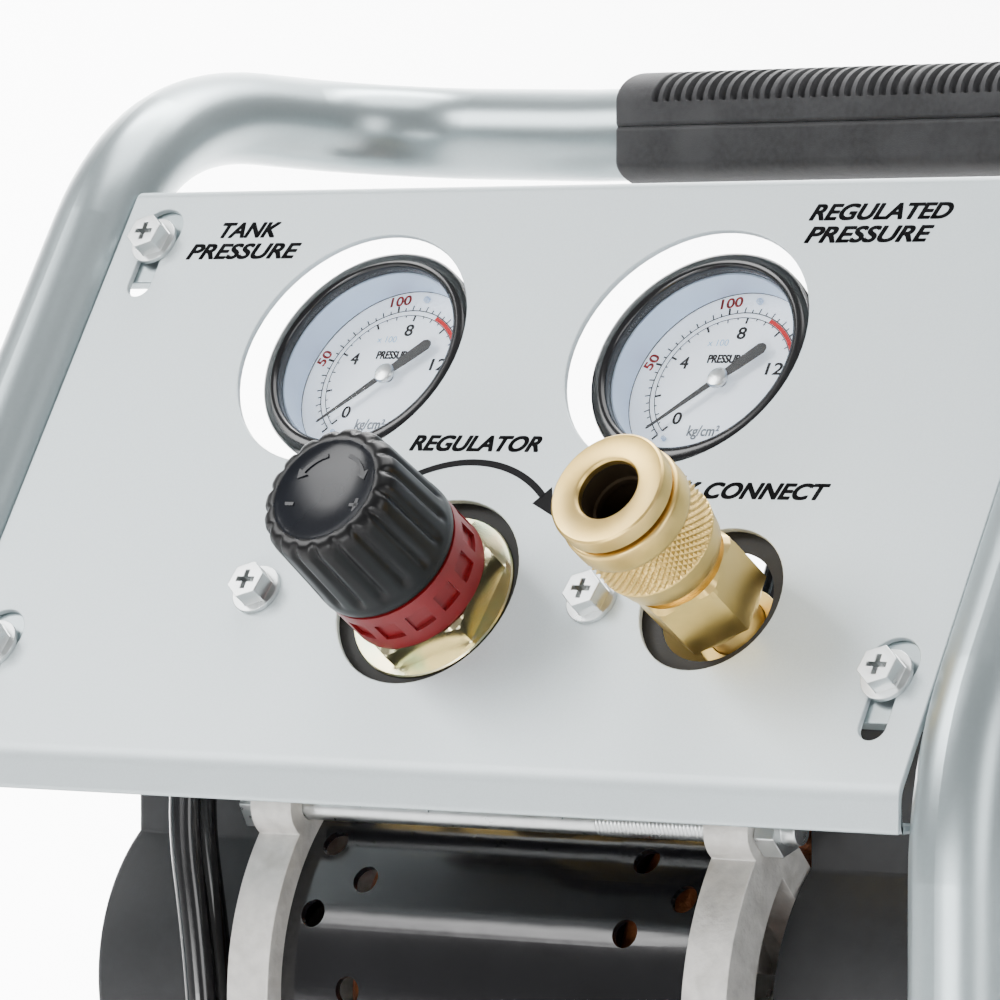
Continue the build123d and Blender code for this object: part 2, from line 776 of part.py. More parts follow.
zero_deg = 222.0
for nname, gc in (("gauge_needle_tank", gau_c[0]), ("gauge_needle_outlet", gau_c[1])):
    with BuildPart() as needle:
        with BuildSketch(panel(-16.4)):
            with Locations(Location((gc[0], gc[1], 0), (0, 0, zero_deg))):
                Circle(2.5)
                with Locations((9, 0)):
                    Rectangle(20, 0.9)
                with Locations((-6.5, 0)):
                    Rectangle(12.6, 2.4)
        extrude(amount=0.8)
        with BuildSketch(panel(-18.8)):
            with Locations(gc):
                Circle(1.12)
        extrude(amount=2.5)
        with BuildSketch(panel(-15.7)):
            with Locations(gc):
                Circle(2.4)
        extrude(amount=1.0)
    save(needle, nname)

# ---------------------------------------------------------------- regulator
with BuildPart() as regulator_bracket:
    with BuildSketch(panel(-3.8)):
        with Locations((-5.4, -63.0)):
            RectangleRounded(106, 24, 5)
        with Locations((reg_x, reg_q)):
            Circle(21.0)
            Circle(12.0, mode=Mode.SUBTRACT)
        with Locations((-50.5, -63.5), (39.7, -63.5)):
            Circle(2.6, mode=Mode.SUBTRACT)
    extrude(amount=-2.2)
    with BuildSketch(panel(-1.55)):
        with Locations((-50.5, -63.5), (39.7, -63.5)):
            Circle(5)
            Circle(2.6, mode=Mode.SUBTRACT)
    extrude(amount=-2.3)
save(regulator_bracket, "regulator_bracket")

with BuildPart() as regulator_body:
    with BuildSketch(panel(-6.05)):
        with Locations((reg_x, reg_q)):
            Circle(18.5)
    extrude(amount=-38)
    chamfer(regulator_body.faces().sort_by(Axis((0, 0, 0), (0, -c32, s32)))[0].edges(), 2)
    with BuildSketch(panel(-6.05)):
        with Locations((reg_x, reg_q)):
            Circle(11.5)
    extrude(amount=23.0)
    with BuildSketch(panel(17)):
        with Locations((reg_x, reg_q)):
            Circle(5.05)
    extrude(amount=-26, mode=Mode.SUBTRACT)
    # side ports: inlet on the left with hose tails, outlet on the right
    port = Plane(origin=W(reg_x, reg_q, -26), x_dir=(0, s32, c32), z_dir=(-1, 0, 0))
    with BuildSketch(port.offset(14)):
        RectangleRounded(23, 16, 2)
    extrude(amount=44)
save(regulator_body, "regulator_body")

with BuildPart() as outlet_manifold:
    with BuildSketch(Plane(origin=W(reg_x + 18.2, reg_q, -26), x_dir=(0, s32, c32), z_dir=(1, 0, 0))):
        RectangleRounded(20, 20, 3)
    extrude(amount=cpl_x - reg_x - 18.2 + 14)
    with BuildSketch(panel(-16)):
        with Locations((cpl_x, cpl_q)):
            Circle(9.5)
    extrude(amount=4)
    with BuildSketch(panel(-12)):
        with Locations((cpl_x, cpl_q)):
            Circle(6.6)
    extrude(amount=-14, mode=Mode.SUBTRACT)
    # fits against the round regulator body
    with BuildSketch(panel(-6)):
        with Locations((reg_x, reg_q)):
            Circle(18.55)
    extrude(amount=-40, mode=Mode.SUBTRACT)
save(outlet_manifold, "outlet_manifold")

with BuildPart() as bonnet_nut:
    with BuildSketch(panel(-3.75)):
        with Locations((reg_x, reg_q)):
            Circle(20)
    extrude(amount=1.6)
    with BuildSketch(panel(-2.4)):
        with Locations((reg_x, reg_q)):
            RegularPolygon(16.0, 6, major_radius=False, rotation=24)
    extrude(amount=6.9)
    with BuildSketch(panel(6)):
        with Locations((reg_x, reg_q)):
            Circle(11.55)
    extrude(amount=-12, mode=Mode.SUBTRACT)
save(bonnet_nut, "bonnet_nut")

with BuildPart() as lock_ring:
    with BuildSketch(panel(4.6)):
        with Locations((reg_x, reg_q)):
            Circle(17)
            Circle(11.55, mode=Mode.SUBTRACT)
    extrude(amount=12.4)
    with BuildSketch(panel(8.4)):
        with Locations((reg_x, reg_q)):
            with PolarLocations(17, 14):
                Rectangle(2.0, 5.0)
    extrude(amount=5.4, mode=Mode.SUBTRACT)
save(lock_ring, "lock_ring")

# Adjusting screw turns in the bonnet; the knob drives it through a square.
with BuildPart() as adjusting_screw:
    with BuildSketch(panel(-8.5)):
        with Locations((reg_x, reg_q)):
            Circle(5.0)
    extrude(amount=26)
    with BuildSketch(panel(17.5)):
        with Locations((reg_x, reg_q)):
            Rectangle(7, 7)
    extrude(amount=17)
save(adjusting_screw, "adjusting_screw")

kn0, kn1 = 17.6, 43.0
with BuildPart() as regulator_knob:
    with BuildSketch(panel(kn0)):
        with Locations((reg_x, reg_q)):
            Circle(17.2)
    extrude(amount=kn1 - kn0, taper=1.9)
    fillet(regulator_knob.faces().sort_by(Axis((0, 0, 0), (0, -c32, s32)))[-1].edges(), 2.2)
    with BuildSketch(panel(kn1)):
        with Locations((reg_x, reg_q)):
            Circle(11)
    extrude(amount=-0.8, taper=35, mode=Mode.SUBTRACT)
    # shallow grip flutes
    with BuildSketch(panel(kn0 + 4.5)):
        with Locations((reg_x, reg_q)):
            with PolarLocations(17.9, 18):
                Circle(1.6)
    extrude(amount=17, mode=Mode.SUBTRACT)
    with BuildSketch(panel(kn0)):
        with Locations((reg_x, reg_q)):
            Rectangle(7.1, 7.1)
    extrude(amount=20.5, mode=Mode.SUBTRACT)
    with BuildSketch(panel(kn0)):
        with Locations((reg_x, reg_q)):
            Circle(14.2)
            Circle(7.5, mode=Mode.SUBTRACT)
    extrude(amount=14, mode=Mode.SUBTRACT)
save(regulator_knob, "regulator_knob")

# ---------------------------------------------------------------- coupler
with BuildPart() as coupler_body:
    with BuildSketch(panel(-15.9)):
        with Locations((cpl_x, cpl_q)):
            Circle(6.5)
    extrude(amount=14)
    with BuildSketch(panel(-2)):
        with Locations((cpl_x, cpl_q)):
            RegularPolygon(11.1, 6, major_radius=False, rotation=30)
    extrude(amount=17)
    with BuildSketch(panel(15)):
        with Locations((cpl_x, cpl_q)):
            Circle(10.4)
    extrude(amount=26.2)
    with BuildSketch(panel(40.9)):
        with Locations((cpl_x, cpl_q)):
            Circle(13.3)
    extrude(amount=4.1)
    chamfer(coupler_body.faces().sort_by(Axis((0, 0, 0), (0, -c32, s32)))[-1].edges(), 0.8)
    # socket bore, stepped, and the air passage behind it
    with BuildSketch(panel(45)):
        with Locations((cpl_x, cpl_q)):
            Circle(6.9)
    extrude(amount=-18, mode=Mode.SUBTRACT)
    with BuildSketch(panel(28)):
        with Locations((cpl_x, cpl_q)):
            Circle(5.6)
    extrude(amount=-22, mode=Mode.SUBTRACT)
    with BuildSketch(panel(8)):
        with Locations((cpl_x, cpl_q)):
            Circle(3.2)
    extrude(amount=-26, mode=Mode.SUBTRACT)
save(coupler_body, "coupler_body")

with BuildPart() as coupler_sleeve:
    slv = Plane(origin=W(cpl_x, cpl_q, 0), x_dir=(1, 0, 0), z_dir=(0, -s32, -c32))
    with BuildSketch(Plane(origin=W(cpl_x, cpl_q, 0), x_dir=(1, 0, 0), z_dir=(0, s32, c32))):
        # section: local x is radius, local y runs along -n
        with BuildLine():
            Polyline((10.5, -17.6), (12.2, -17.6), (13.6, -24), (13.6, -39.4), (13.2, -39.8),
                     (10.5, -39.8), (10.5, -17.6))
        make_face()
    revolve(axis=Axis(W(cpl_x, cpl_q, 0), (0, -c32, s32)))
save(coupler_sleeve, "coupler_sleeve")

with BuildPart() as coupler_valve:
    with BuildSketch(panel(13)):
        with Locations((cpl_x, cpl_q)):
            Circle(5.5)
    extrude(amount=8)
    with BuildSketch(panel(21)):
        with Locations((cpl_x, cpl_q)):
            Circle(3.4)
    extrude(amount=3)
    with BuildSketch(panel(9)):
        with Locations((cpl_x, cpl_q)):
            Circle(1.6)
    extrude(amount=5)
save(coupler_valve, "coupler_valve")

# ---------------------------------------------------------------- electrics
ps_y, ps_z0 = 62.0, 180.0
with BuildPart() as pressure_switch_base:
    with BuildSketch(pz(tank_z + tank_r + 0.5)):
        with Locations((0, ps_y)):
            Circle(5.8)
    extrude(amount=16)
    with BuildSketch(pz(tank_z + tank_r + 6.2)):
        with Locations((0, ps_y)):
            RegularPolygon(9.5, 6, major_radius=False)
    extrude(amount=12)
    with BuildSketch(pz(170)):
        with Locations((0, ps_y)):
            RectangleRounded(48, 60, 5)
    extrude(amount=12)
    # posts and pin for the on-off lever
    with BuildSketch(pz(181)):
        with Locations((-6, ps_y), (6, ps_y)):
            Rectangle(4, 9)
    extrude(amount=49)
    with BuildSketch(px(-8)):
        with Locations((ps_y, 226)):
            Circle(1.53)
    extrude(amount=16)
save(pressure_switch_base, "pressure_switch_base")

with BuildPart() as pressure_switch_cover:
    with BuildSketch(pz(182.1)):
        with Locations((0, ps_y)):
            RectangleRounded(54, 66, 7)
    extrude(amount=56)
    fillet(pressure_switch_cover.faces().sort_by(Axis.Z)[-1].edges(), 4)
    with BuildSketch(pz(182.1)):
        with Locations((0, ps_y)):
            RectangleRounded(50, 62, 5)
    extrude(amount=53.5, mode=Mode.SUBTRACT)
    # lever slot on top
    with BuildSketch(pz(230)):
        with Locations((0, ps_y)):
            Rectangle(8, 30)
    extrude(amount=12, mode=Mode.SUBTRACT)
    # cable entry at the back
    with BuildSketch(py(ps_y + 30)):
        with Locations((9, 205)):
            Circle(8)
    extrude(amount=-6, mode=Mode.SUBTRACT)
save(pressure_switch_cover, "pressure_switch_cover")

with BuildPart() as switch_lever:
    with BuildSketch(px(-3)):
        with Locations((ps_y, 226)):
            Circle(6)
        with Locations((ps_y - 5, 238)):
            Rectangle(7, 24, rotation=22)
        with Locations((ps_y, 226)):
            Circle(1.6, mode=Mode.SUBTRACT)
    extrude(amount=6)
save(switch_lever, "switch_lever")

with BuildPart() as cord_gland:
    with BuildSketch(py(ps_y + 30)):
        with Locations((9, 205)):
            Circle(7.9)
            Circle(4.2, mode=Mode.SUBTRACT)
    extrude(amount=-8)
    with BuildSketch(py(ps_y + 33.1)):
        with Locations((9, 205)):
            Circle(11)
            Circle(4.2, mode=Mode.SUBTRACT)
    extrude(amount=-10)
save(cord_gland, "cord_gland")

with BuildPart() as safety_valve_body:
    with BuildSketch(pz(tank_z + tank_r + 0.5)):
        with Locations((0, 125)):
            Circle(5.8)
    extrude(amount=8)
    with BuildSketch(pz(tank_z + tank_r + 6.2)):
        with Locations((0, 125)):
            RegularPolygon(7.5, 6, major_radius=False)
    extrude(amount=9)
    with BuildSketch(pz(tank_z + tank_r + 15)):
        with Locations((0, 125)):
            Circle(6.2)
            Circle(2.2, mode=Mode.SUBTRACT)
    extrude(amount=18)
save(safety_valve_body, "safety_valve_body")

with BuildPart() as safety_valve_ring:
    with BuildSketch(pz(170)):
        with Locations((0, 125)):
            Circle(2.12)
    extrude(amount=24)
    with BuildSketch(px(-1)):
        with Locations((125, 201)):
            Circle(9)
            Circle(7, mode=Mode.SUBTRACT)
    extrude(amount=2)
save(safety_valve_ring, "safety_valve_ring")

with BuildPart() as capacitor:
    with BuildSketch(pz(deck_z + 3.05)):
        with Locations((-46, -3)):
            Circle(17.5)
    extrude(amount=70)
    fillet(capacitor.edges().filter_by(GeomType.CIRCLE), 2)
    with BuildSketch(pz(deck_z + 73)):
        with Locations((-50, -3), (-42, -3)):
            Rectangle(1, 6)
    extrude(amount=9)
save(capacitor, "capacitor")

# ---------------------------------------------------------------- air hoses
# Two nylon hoses drop behind the panel, pass in front of the left fan cover
# and end at the two side ports of the tank.
hose_r = 3.6
hp_a = [(-62.6, -131.9, 305.7), (-74, -131.9, 305.7), (-81, -137.5, 293), (-81.8, -139, 270),
        (-78.0, -139, 245), (-75.6, -139, 221), (-75.2, -137, 180), (-75.8, -124, 153),
        (-76, -118, 137), (-76, -118, 122.1)]
hp_b = [(-62.6, -126.0, 315.1), (-76, -126.0, 315.1), (-84.6, -127.5, 300), (-83.4, -131.3, 270),
        (-79.2, -131.3, 245), (-76.4, -131.3, 221), (-79, -128, 190), (-78, -114, 160),
        (-76, -98, 139), (-76, -98, 122.1)]


def corner_radii(pts, end=0.45):
    out = []
    for a, b, c in zip(pts, pts[1:], pts[2:]):
        u, v = Vector(*b) - Vector(*a), Vector(*c) - Vector(*b)
        half = math.radians(u.get_angle(v)) / 2
        out.append(end * min(u.length, v.length) / math.tan(half))
    return out


with BuildPart() as air_hoses:
    for pts in (hp_a, hp_b):
        rr = corner_radii(pts)
        print("hose radii", [round(r, 1) for r in rr])
        with BuildLine():
            hp = FilletPolyline(*pts, radius=rr)
        with BuildSketch(Plane(origin=hp @ 0, z_dir=hp % 0)):
            Circle(hose_r)
        sweep()
        print("hose length", round(hp.length, 1))
    # thin lines from the back of each gauge to the inlet block and the outlet block
    for gp in ([(-52.3, 3, -41.1), (-52.3, 3, -54), (-50, -30, -57), (-48, -62.3, -50), (-48, -62.3, -34.1)],
               [(39.0, 2, -41.1), (39.0, 2, -54), (40, -30, -58), (41, -62.3, -52), (41, -62.3, -36.1)]):
        wp = [W(*p) for p in gp]
        with BuildLine():
            gl = FilletPolyline(*wp, radius=corner_radii(wp))
        with BuildSketch(Plane(origin=gl @ 0, z_dir=gl % 0)):
            Circle(2.2)
        sweep()
save(air_hoses, "air_hoses")
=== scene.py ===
import math

import bmesh
import bpy
from mathutils import Matrix, Vector


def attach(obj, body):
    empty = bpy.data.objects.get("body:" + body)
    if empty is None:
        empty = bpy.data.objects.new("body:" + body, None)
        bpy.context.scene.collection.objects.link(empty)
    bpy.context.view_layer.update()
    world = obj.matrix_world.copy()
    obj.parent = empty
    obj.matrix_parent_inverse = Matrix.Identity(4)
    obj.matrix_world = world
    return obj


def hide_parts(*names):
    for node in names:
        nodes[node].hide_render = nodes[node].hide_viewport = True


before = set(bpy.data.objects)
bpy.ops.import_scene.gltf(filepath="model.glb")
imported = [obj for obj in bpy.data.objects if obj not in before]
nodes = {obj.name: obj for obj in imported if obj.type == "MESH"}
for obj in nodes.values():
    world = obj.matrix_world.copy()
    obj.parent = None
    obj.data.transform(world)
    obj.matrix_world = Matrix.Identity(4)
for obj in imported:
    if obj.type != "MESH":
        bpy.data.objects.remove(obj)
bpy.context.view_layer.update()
scene = bpy.context.scene

# ------------------------------------------------------------------ camera
O = Vector((0.0, -0.118, 0.377))
cam_d = bpy.data.cameras.new("camera")
cam_d.sensor_width = 36.0
cam_d.lens = 223.88
cam_d.clip_start = 0.05
cam_d.clip_end = 50.0
cam = bpy.data.objects.new("camera", cam_d)
scene.collection.objects.link(cam)
rt = Vector((0.8103, 0.5860, 0.0005)).normalized()
vw = Vector((-0.5858, 0.8101, -0.0226)).normalized()
up = rt.cross(vw).normalized()
cam.matrix_world = Matrix((
    (rt.x, up.x, -vw.x, O.x + 0.7957),
    (rt.y, up.y, -vw.y, O.y - 1.1127),
    (rt.z, up.z, -vw.z, O.z - 0.0028),
    (0, 0, 0, 1)))
scene.camera = cam

# ------------------------------------------------------------------ helpers
TILT = math.radians(32.0)
C32, S32 = math.cos(TILT), math.sin(TILT)
# panel axes: x across, q up the slope, n out of the face, in millimetres
M_PANEL = Matrix((
    (0.001, 0, 0, O.x),
    (0, S32 * 0.001, -C32 * 0.001, O.y),
    (0, C32 * 0.001, S32 * 0.001, O.z),
    (0, 0, 0, 1)))
MM = Matrix.Scale(0.001, 4)
# shaft axes: x along X, (y, z) from the shaft
M_SHAFT = Matrix.Translation((0, -0.082, 0.232)) @ MM


def link(name, me, mats, body="frame", repl=()):
    me.name = name
    ob = bpy.data.objects.new(name, me)
    scene.collection.objects.link(ob)
    if not isinstance(mats, (list, tuple)):
        mats = [mats]
    if len(me.materials):
        me.materials.clear()
    for m in mats:
        me.materials.append(m)
    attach(ob, body)
    if repl:
        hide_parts(*repl)
    return ob


def smooth(me, angle=35.0):
    me.shade_smooth()
    me.set_sharp_from_angle(angle=math.radians(angle))


def from_pydata(verts, faces, M, angle=35.0):
    me = bpy.data.meshes.new("m")
    me.from_pydata(verts, [], faces)
    me.transform(M)
    bm = bmesh.new()
    bm.from_mesh(me)
    bmesh.ops.recalc_face_normals(bm, faces=bm.faces)
    bm.to_mesh(me)
    bm.free()
    smooth(me, angle)
    return me


def applied(ob):
    dg = bpy.context.evaluated_depsgraph_get()
    return bpy.data.meshes.new_from_object(ob.evaluated_get(dg), depsgraph=dg)


def polish(node, mats, width=0.4, segs=2, angle=38.0, body="frame", name=None, join=0.002):
    """A copy of a CAD node with its sharp edges rounded."""
    src = nodes[node]
    me = src.data.copy()
    me.transform(src.matrix_world)
    bm = bmesh.new()
    bm.from_mesh(me)
    bmesh.ops.remove_doubles(bm, verts=bm.verts, dist=join * 0.001)
    bmesh.ops.dissolve_limit(bm, angle_limit=math.radians(0.8), verts=bm.verts, edges=bm.edges,
                             use_dissolve_boundaries=False)
    bm.to_mesh(me)
    bm.free()
    ob = bpy.data.objects.new("tmp", me)
    scene.collection.objects.link(ob)
    b = ob.modifiers.new("b", "BEVEL")
    b.width = width * 0.001
    b.segments = segs
    b.limit_method = "ANGLE"
    b.angle_limit = math.radians(angle)
    b.use_clamp_overlap = True
    w = ob.modifiers.new("w", "WEIGHTED_NORMAL")
    w.keep_sharp = False
    me.shade_smooth()
    out = applied(ob)
    bpy.data.objects.remove(ob)
    return link(name or node + "_finished", out, mats, body, (node,))


def polar(rings, M, fn=None, nt=96, cap0=False, cap1=False, angle=35.0, axis="n", t0=0.0, t1=2 * math.pi,
          mat_fn=None):
    """A surface of revolution, rings = [(height, radius)], shaped by fn(theta, height, radius)."""
    full = abs((t1 - t0) - 2 * math.pi) < 1e-6
    cols = nt if full else nt + 1
    verts, faces = [], []
    for h, r in rings:
        for i in range(cols):
            t = t0 + (t1 - t0) * i / nt
            rr = fn(t, h, r) if fn else r
            if axis == "n":
                verts.append((rr * math.cos(t), rr * math.sin(t), h))
            else:
                verts.append((h, rr * math.cos(t), rr * math.sin(t)))
    for j in range(len(rings) - 1):
        for i in range(nt):
            a = j * cols + i
            b = j * cols + (i + 1) % cols
            faces.append((a, b, b + cols, a + cols))
    if cap0:
        faces.append(tuple(range(cols - 1, -1, -1)))
    if cap1:
        k = (len(rings) - 1) * cols
        faces.append(tuple(k + i for i in range(cols)))
    return from_pydata(verts, faces, M, angle)


def at(x, q, n=0.0):
    return M_PANEL @ Matrix.Translation((x, q, n))


def joined(meshes):
    bm = bmesh.new()
    for m in meshes:
        bm.from_mesh(m)
    me = bpy.data.meshes.new("j")
    bm.to_mesh(me)
    bm.free()
    return me


def joined_mats(parts):
    """Joins (mesh, material index) pairs."""
    bm = bmesh.new()
    for m, k in parts:
        n0 = len(bm.faces)
        bm.from_mesh(m)
        bm.faces.ensure_lookup_table()
        for f in bm.faces[n0:]:
            f.material_index = k
    me = bpy.data.meshes.new("j")
    bm.to_mesh(me)
    bm.free()
    return me


def ngon(pts, M, thick=0.0):
    n = len(pts)
    if thick:
        v = [(p[0], p[1], 0) for p in pts] + [(p[0], p[1], thick) for p in pts]
        f = [tuple(range(n - 1, -1, -1)), tuple(range(n, 2 * n))]
        f += [(i, (i + 1) % n, (i + 1) % n + n, i + n) for i in range(n)]
    else:
        v = [(p[0], p[1], 0) for p in pts]
        f = [tuple(range(n))]
    return from_pydata(v, f, M)


def arc_band(r0, r1, a0, a1, M, n=40, thick=0.03):
    pts = [(r1 * math.cos(math.radians(a0 + (a1 - a0) * i / n)), r1 * math.sin(math.radians(a0 + (a1 - a0) * i / n)))
           for i in range(n + 1)]
    pts += [(r0 * math.cos(math.radians(a1 - (a1 - a0) * i / n)), r0 * math.sin(math.radians(a1 - (a1 - a0) * i / n)))
            for i in range(n + 1)]
    v, f = [], []
    m = n + 1
    for z in (0, thick):
        v += [(p[0], p[1], z) for p in pts]
    for i in range(n):
        a, b = i, i + 1
        c, d = 2 * m - 2 - i, 2 * m - 1 - i
        f.append((a, d, c, b))
        f.append((a + 2 * m, b + 2 * m, c + 2 * m, d + 2 * m))
    k = 2 * m
    f += [(i, (i + 1) % k, (i + 1) % k + k, i + k) for i in range(k)]
    return from_pydata(v, f, M)


def text(body, size, M, shear=0.0, extrude=0.02, xscale=1.0, width=None, align="CENTER", bold=0.0, space=1.0):
    cu = bpy.data.curves.new("t", "FONT")
    cu.body = body
    cu.size = size
    cu.align_x = align
    cu.align_y = "CENTER"
    cu.shear = shear
    cu.offset = bold
    cu.space_character = space
    cu.extrude = extrude
    cu.resolution_u = 6
    ob = bpy.data.objects.new("t", cu)
    scene.collection.objects.link(ob)
    bpy.context.view_layer.update()
    me = applied(ob)
    bpy.data.objects.remove(ob)
    if width:
        xs = [v.co.x for v in me.vertices]
        xscale = width / (max(xs) - min(xs))
    me.transform(M @ Matrix.Diagonal((xscale, 1, 1, 1)))
    return me


# ------------------------------------------------------------------ materials
def material(name, color, metal=0.0, rough=0.5, var=0.05, vscale=60.0, bump=0.1, bscale=1500.0, bdist=0.00005,
             coat=0.0, coat_rough=0.08, spec=0.5, rvar=0.05, grime=None, stretch=None, alpha=1.0, second=None):
    m = bpy.data.materials.new(name)
    m.use_nodes = True
    nt = m.node_tree
    p = nt.nodes["Principled BSDF"]
    p.inputs["Metallic"].default_value = metal
    p.inputs["Specular IOR Level"].default_value = spec
    p.inputs["Coat Weight"].default_value = coat
    p.inputs["Coat Roughness"].default_value = coat_rough
    p.inputs["Alpha"].default_value = alpha
    tc = nt.nodes.new("ShaderNodeTexCoord")
    vec = tc.outputs["Object"]
    if stretch:
        mp = nt.nodes.new("ShaderNodeMapping")
        mp.inputs["Scale"].default_value = stretch
        nt.links.new(vec, mp.inputs["Vector"])
        vec = mp.outputs["Vector"]
    nz = nt.nodes.new("ShaderNodeTexNoise")
    nz.inputs["Scale"].default_value = vscale
    nz.inputs["Detail"].default_value = 4.0
    nt.links.new(vec, nz.inputs["Vector"])
    rmp = nt.nodes.new("ShaderNodeValToRGB")
    c0 = [max(0.0, c * (1 - var)) for c in color[:3]] + [1]
    c1 = [min(1.0, c * (1 + var)) for c in color[:3]] + [1]
    rmp.color_ramp.elements[0].position = 0.3
    rmp.color_ramp.elements[0].color = c0
    rmp.color_ramp.elements[1].position = 0.7
    rmp.color_ramp.elements[1].color = c1
    nt.links.new(nz.outputs["Fac"], rmp.inputs["Fac"])
    colour = rmp.outputs["Color"]
    if second:
        # a second tint in larger soft patches: (colour, scale, low, high)
        n2 = nt.nodes.new("ShaderNodeTexNoise")
        n2.inputs["Scale"].default_value = second[1]
        n2.inputs["Detail"].default_value = 2.0
        nt.links.new(tc.outputs["Object"], n2.inputs["Vector"])
        mr = nt.nodes.new("ShaderNodeMapRange")
        mr.inputs["From Min"].default_value = second[2]
        mr.inputs["From Max"].default_value = second[3]
        nt.links.new(n2.outputs["Fac"], mr.inputs["Value"])
        mx = nt.nodes.new("ShaderNodeMix")
        mx.data_type = "RGBA"
        nt.links.new(mr.outputs["Result"], mx.inputs[0])
        nt.links.new(colour, mx.inputs[6])
        mx.inputs[7].default_value = list(second[0]) + [1]
        colour = mx.outputs[2]
    nt.links.new(colour, p.inputs["Base Color"])
    rr = nt.nodes.new("ShaderNodeMapRange")
    rr.inputs["To Min"].default_value = max(0.02, rough - rvar)
    rr.inputs["To Max"].default_value = min(1.0, rough + rvar)
    nt.links.new(nz.outputs["Fac"], rr.inputs["Value"])
    nt.links.new(rr.outputs["Result"], p.inputs["Roughness"])
    if bump:
        nb = nt.nodes.new("ShaderNodeTexNoise")
        nb.inputs["Scale"].default_value = bscale
        nb.inputs["Detail"].default_value = 3.0
        nt.links.new(vec, nb.inputs["Vector"])
        bp = nt.nodes.new("ShaderNodeBump")
        bp.inputs["Strength"].default_value = bump
        bp.inputs["Distance"].default_value = bdist
        nt.links.new(nb.outputs["Fac"], bp.inputs["Height"])
        nt.links.new(bp.outputs["Normal"], p.inputs["Normal"])
    return m


cage = material("cage_paint_mat", (0.36, 0.42, 0.435), metal=0.85, rough=0.34, var=0.02, vscale=900, bump=0.03,
                bscale=420, bdist=0.00008, coat=0.25, coat_rough=0.18, rvar=0.03)
panelm = material("panel_paint_mat", (0.55, 0.615, 0.635), metal=0.35, rough=0.42, var=0.035, vscale=2400, bump=0.12,
                  bscale=1700, bdist=0.00008, coat=0.15, coat_rough=0.3, rvar=0.04)
gripm = material("grip_rubber_mat", (0.030, 0.030, 0.032), rough=0.62, var=0.25, vscale=700, bump=0.5, bscale=2600,
                 bdist=0.00012, spec=0.35, rvar=0.08, second=((0.055, 0.055, 0.058), 45, 0.5, 0.75))
footm = material("foot_rubber_mat", (0.02, 0.02, 0.02), rough=0.7, var=0.2, bump=0.4, bscale=1800, bdist=0.0001)
tankm = material("tank_enamel_mat", (0.012, 0.012, 0.014), rough=0.22, var=0.2, vscale=30, bump=0.15, bscale=260,
                 bdist=0.0002, coat=0.6, coat_rough=0.08)
zinc = material("zinc_mat", (0.60, 0.62, 0.62), metal=1.0, rough=0.30, var=0.05, vscale=300, bump=0.05, bscale=900,
                bdist=0.00004, rvar=0.08)
yzinc = material("yellow_zinc_mat", (0.62, 0.55, 0.34), metal=1.0, rough=0.24, var=0.08, vscale=140, bump=0.1,
                 bscale=700, bdist=0.00006, second=((0.48, 0.56, 0.38), 90, 0.5, 0.68), rvar=0.06)
deckm = material("deck_paint_mat", (0.02, 0.02, 0.021), rough=0.45, var=0.2, bump=0.2, bscale=700, bdist=0.0001)
motorm = material("motor_enamel_mat", (0.005, 0.005, 0.006), rough=0.16, var=0.3, vscale=26, bump=0.22, bscale=85,
                  bdist=0.0004, coat=0.3, coat_rough=0.12, spec=0.35, rvar=0.08)
castm = material("cast_aluminium_mat", (0.62, 0.60, 0.57), metal=0.55, rough=0.52, var=0.12, vscale=260, bump=0.7,
                 bscale=520, bdist=0.00035, rvar=0.1, second=((0.45, 0.43, 0.40), 120, 0.55, 0.75))
lamm = material("lamination_mat", (0.12, 0.11, 0.10), metal=0.6, rough=0.5, bump=0.5, bscale=40,
                stretch=(60, 1, 1), bdist=0.0002)
copperm = material("winding_mat", (0.42, 0.14, 0.05), metal=0.6, rough=0.35, bump=0.8, bscale=900, bdist=0.0005)
coverm = material("cover_plastic_mat", (0.020, 0.020, 0.0215), rough=0.58, var=0.12, vscale=240, bump=0.35, bscale=1500,
                  bdist=0.00009, spec=0.4)
knobm = material("knob_plastic_mat", (0.003, 0.003, 0.0035), rough=0.34, var=0.15, vscale=120, bump=0.08, bscale=500,
                 bdist=0.00006, spec=0.28, rvar=0.06)
knobtop = material("knob_gloss_mat", (0.008, 0.009, 0.012), rough=0.2, var=0.2, vscale=90, bump=0.06, bscale=160,
                   bdist=0.0001, spec=0.22, rvar=0.04)
casem = material("gauge_case_mat", (0.006, 0.006, 0.007), rough=0.20, var=0.2, bump=0.03, bscale=300, rvar=0.04)
redm = material("red_plastic_mat", (0.15, 0.003, 0.005), rough=0.38, var=0.1, vscale=200, bump=0.15, bscale=900,
                bdist=0.00006, spec=0.5)
dial_painted_glow_m = material("dial_white_painted_glow_mat", (0.80, 0.86, 0.93), rough=0.5, var=0.015, vscale=60, bump=0.02, bscale=900)
linerm = material("gauge_liner_mat", (0.50, 0.62, 0.80), rough=0.35, var=0.05, vscale=60, bump=0.02, bscale=900)
# the dial glows faintly: painted light that makes up for the shade the case's recess casts on it
dial_painted_glow_m.node_tree.nodes["Principled BSDF"].inputs["Emission Color"].default_value = (0.86, 0.93, 1.0, 1)
dial_painted_glow_m.node_tree.nodes["Principled BSDF"].inputs["Emission Strength"].default_value = 0.42
inkm = material("black_print_mat", (0.004, 0.004, 0.005), rough=0.7, var=0.2, bump=0.05, spec=0.15)
redink = material("red_print_mat", (0.55, 0.012, 0.015), rough=0.7, var=0.08, bump=0.05, spec=0.15)
blueink = material("blue_print_mat", (0.30, 0.50, 0.72), rough=0.5, var=0.08, bump=0.05)
greyink = material("grey_print_mat", (0.30, 0.34, 0.38), rough=0.5, var=0.08, bump=0.05)
needlem = material("needle_black_mat", (0.004, 0.004, 0.004), rough=0.6, var=0.2, bump=0.03)
brassm = material("brass_mat", (0.68, 0.475, 0.15), metal=1.0, rough=0.36, var=0.07, vscale=220, bump=0.12, bscale=600,
                  bdist=0.00008, rvar=0.07, second=((0.72, 0.52, 0.20), 60, 0.5, 0.7))
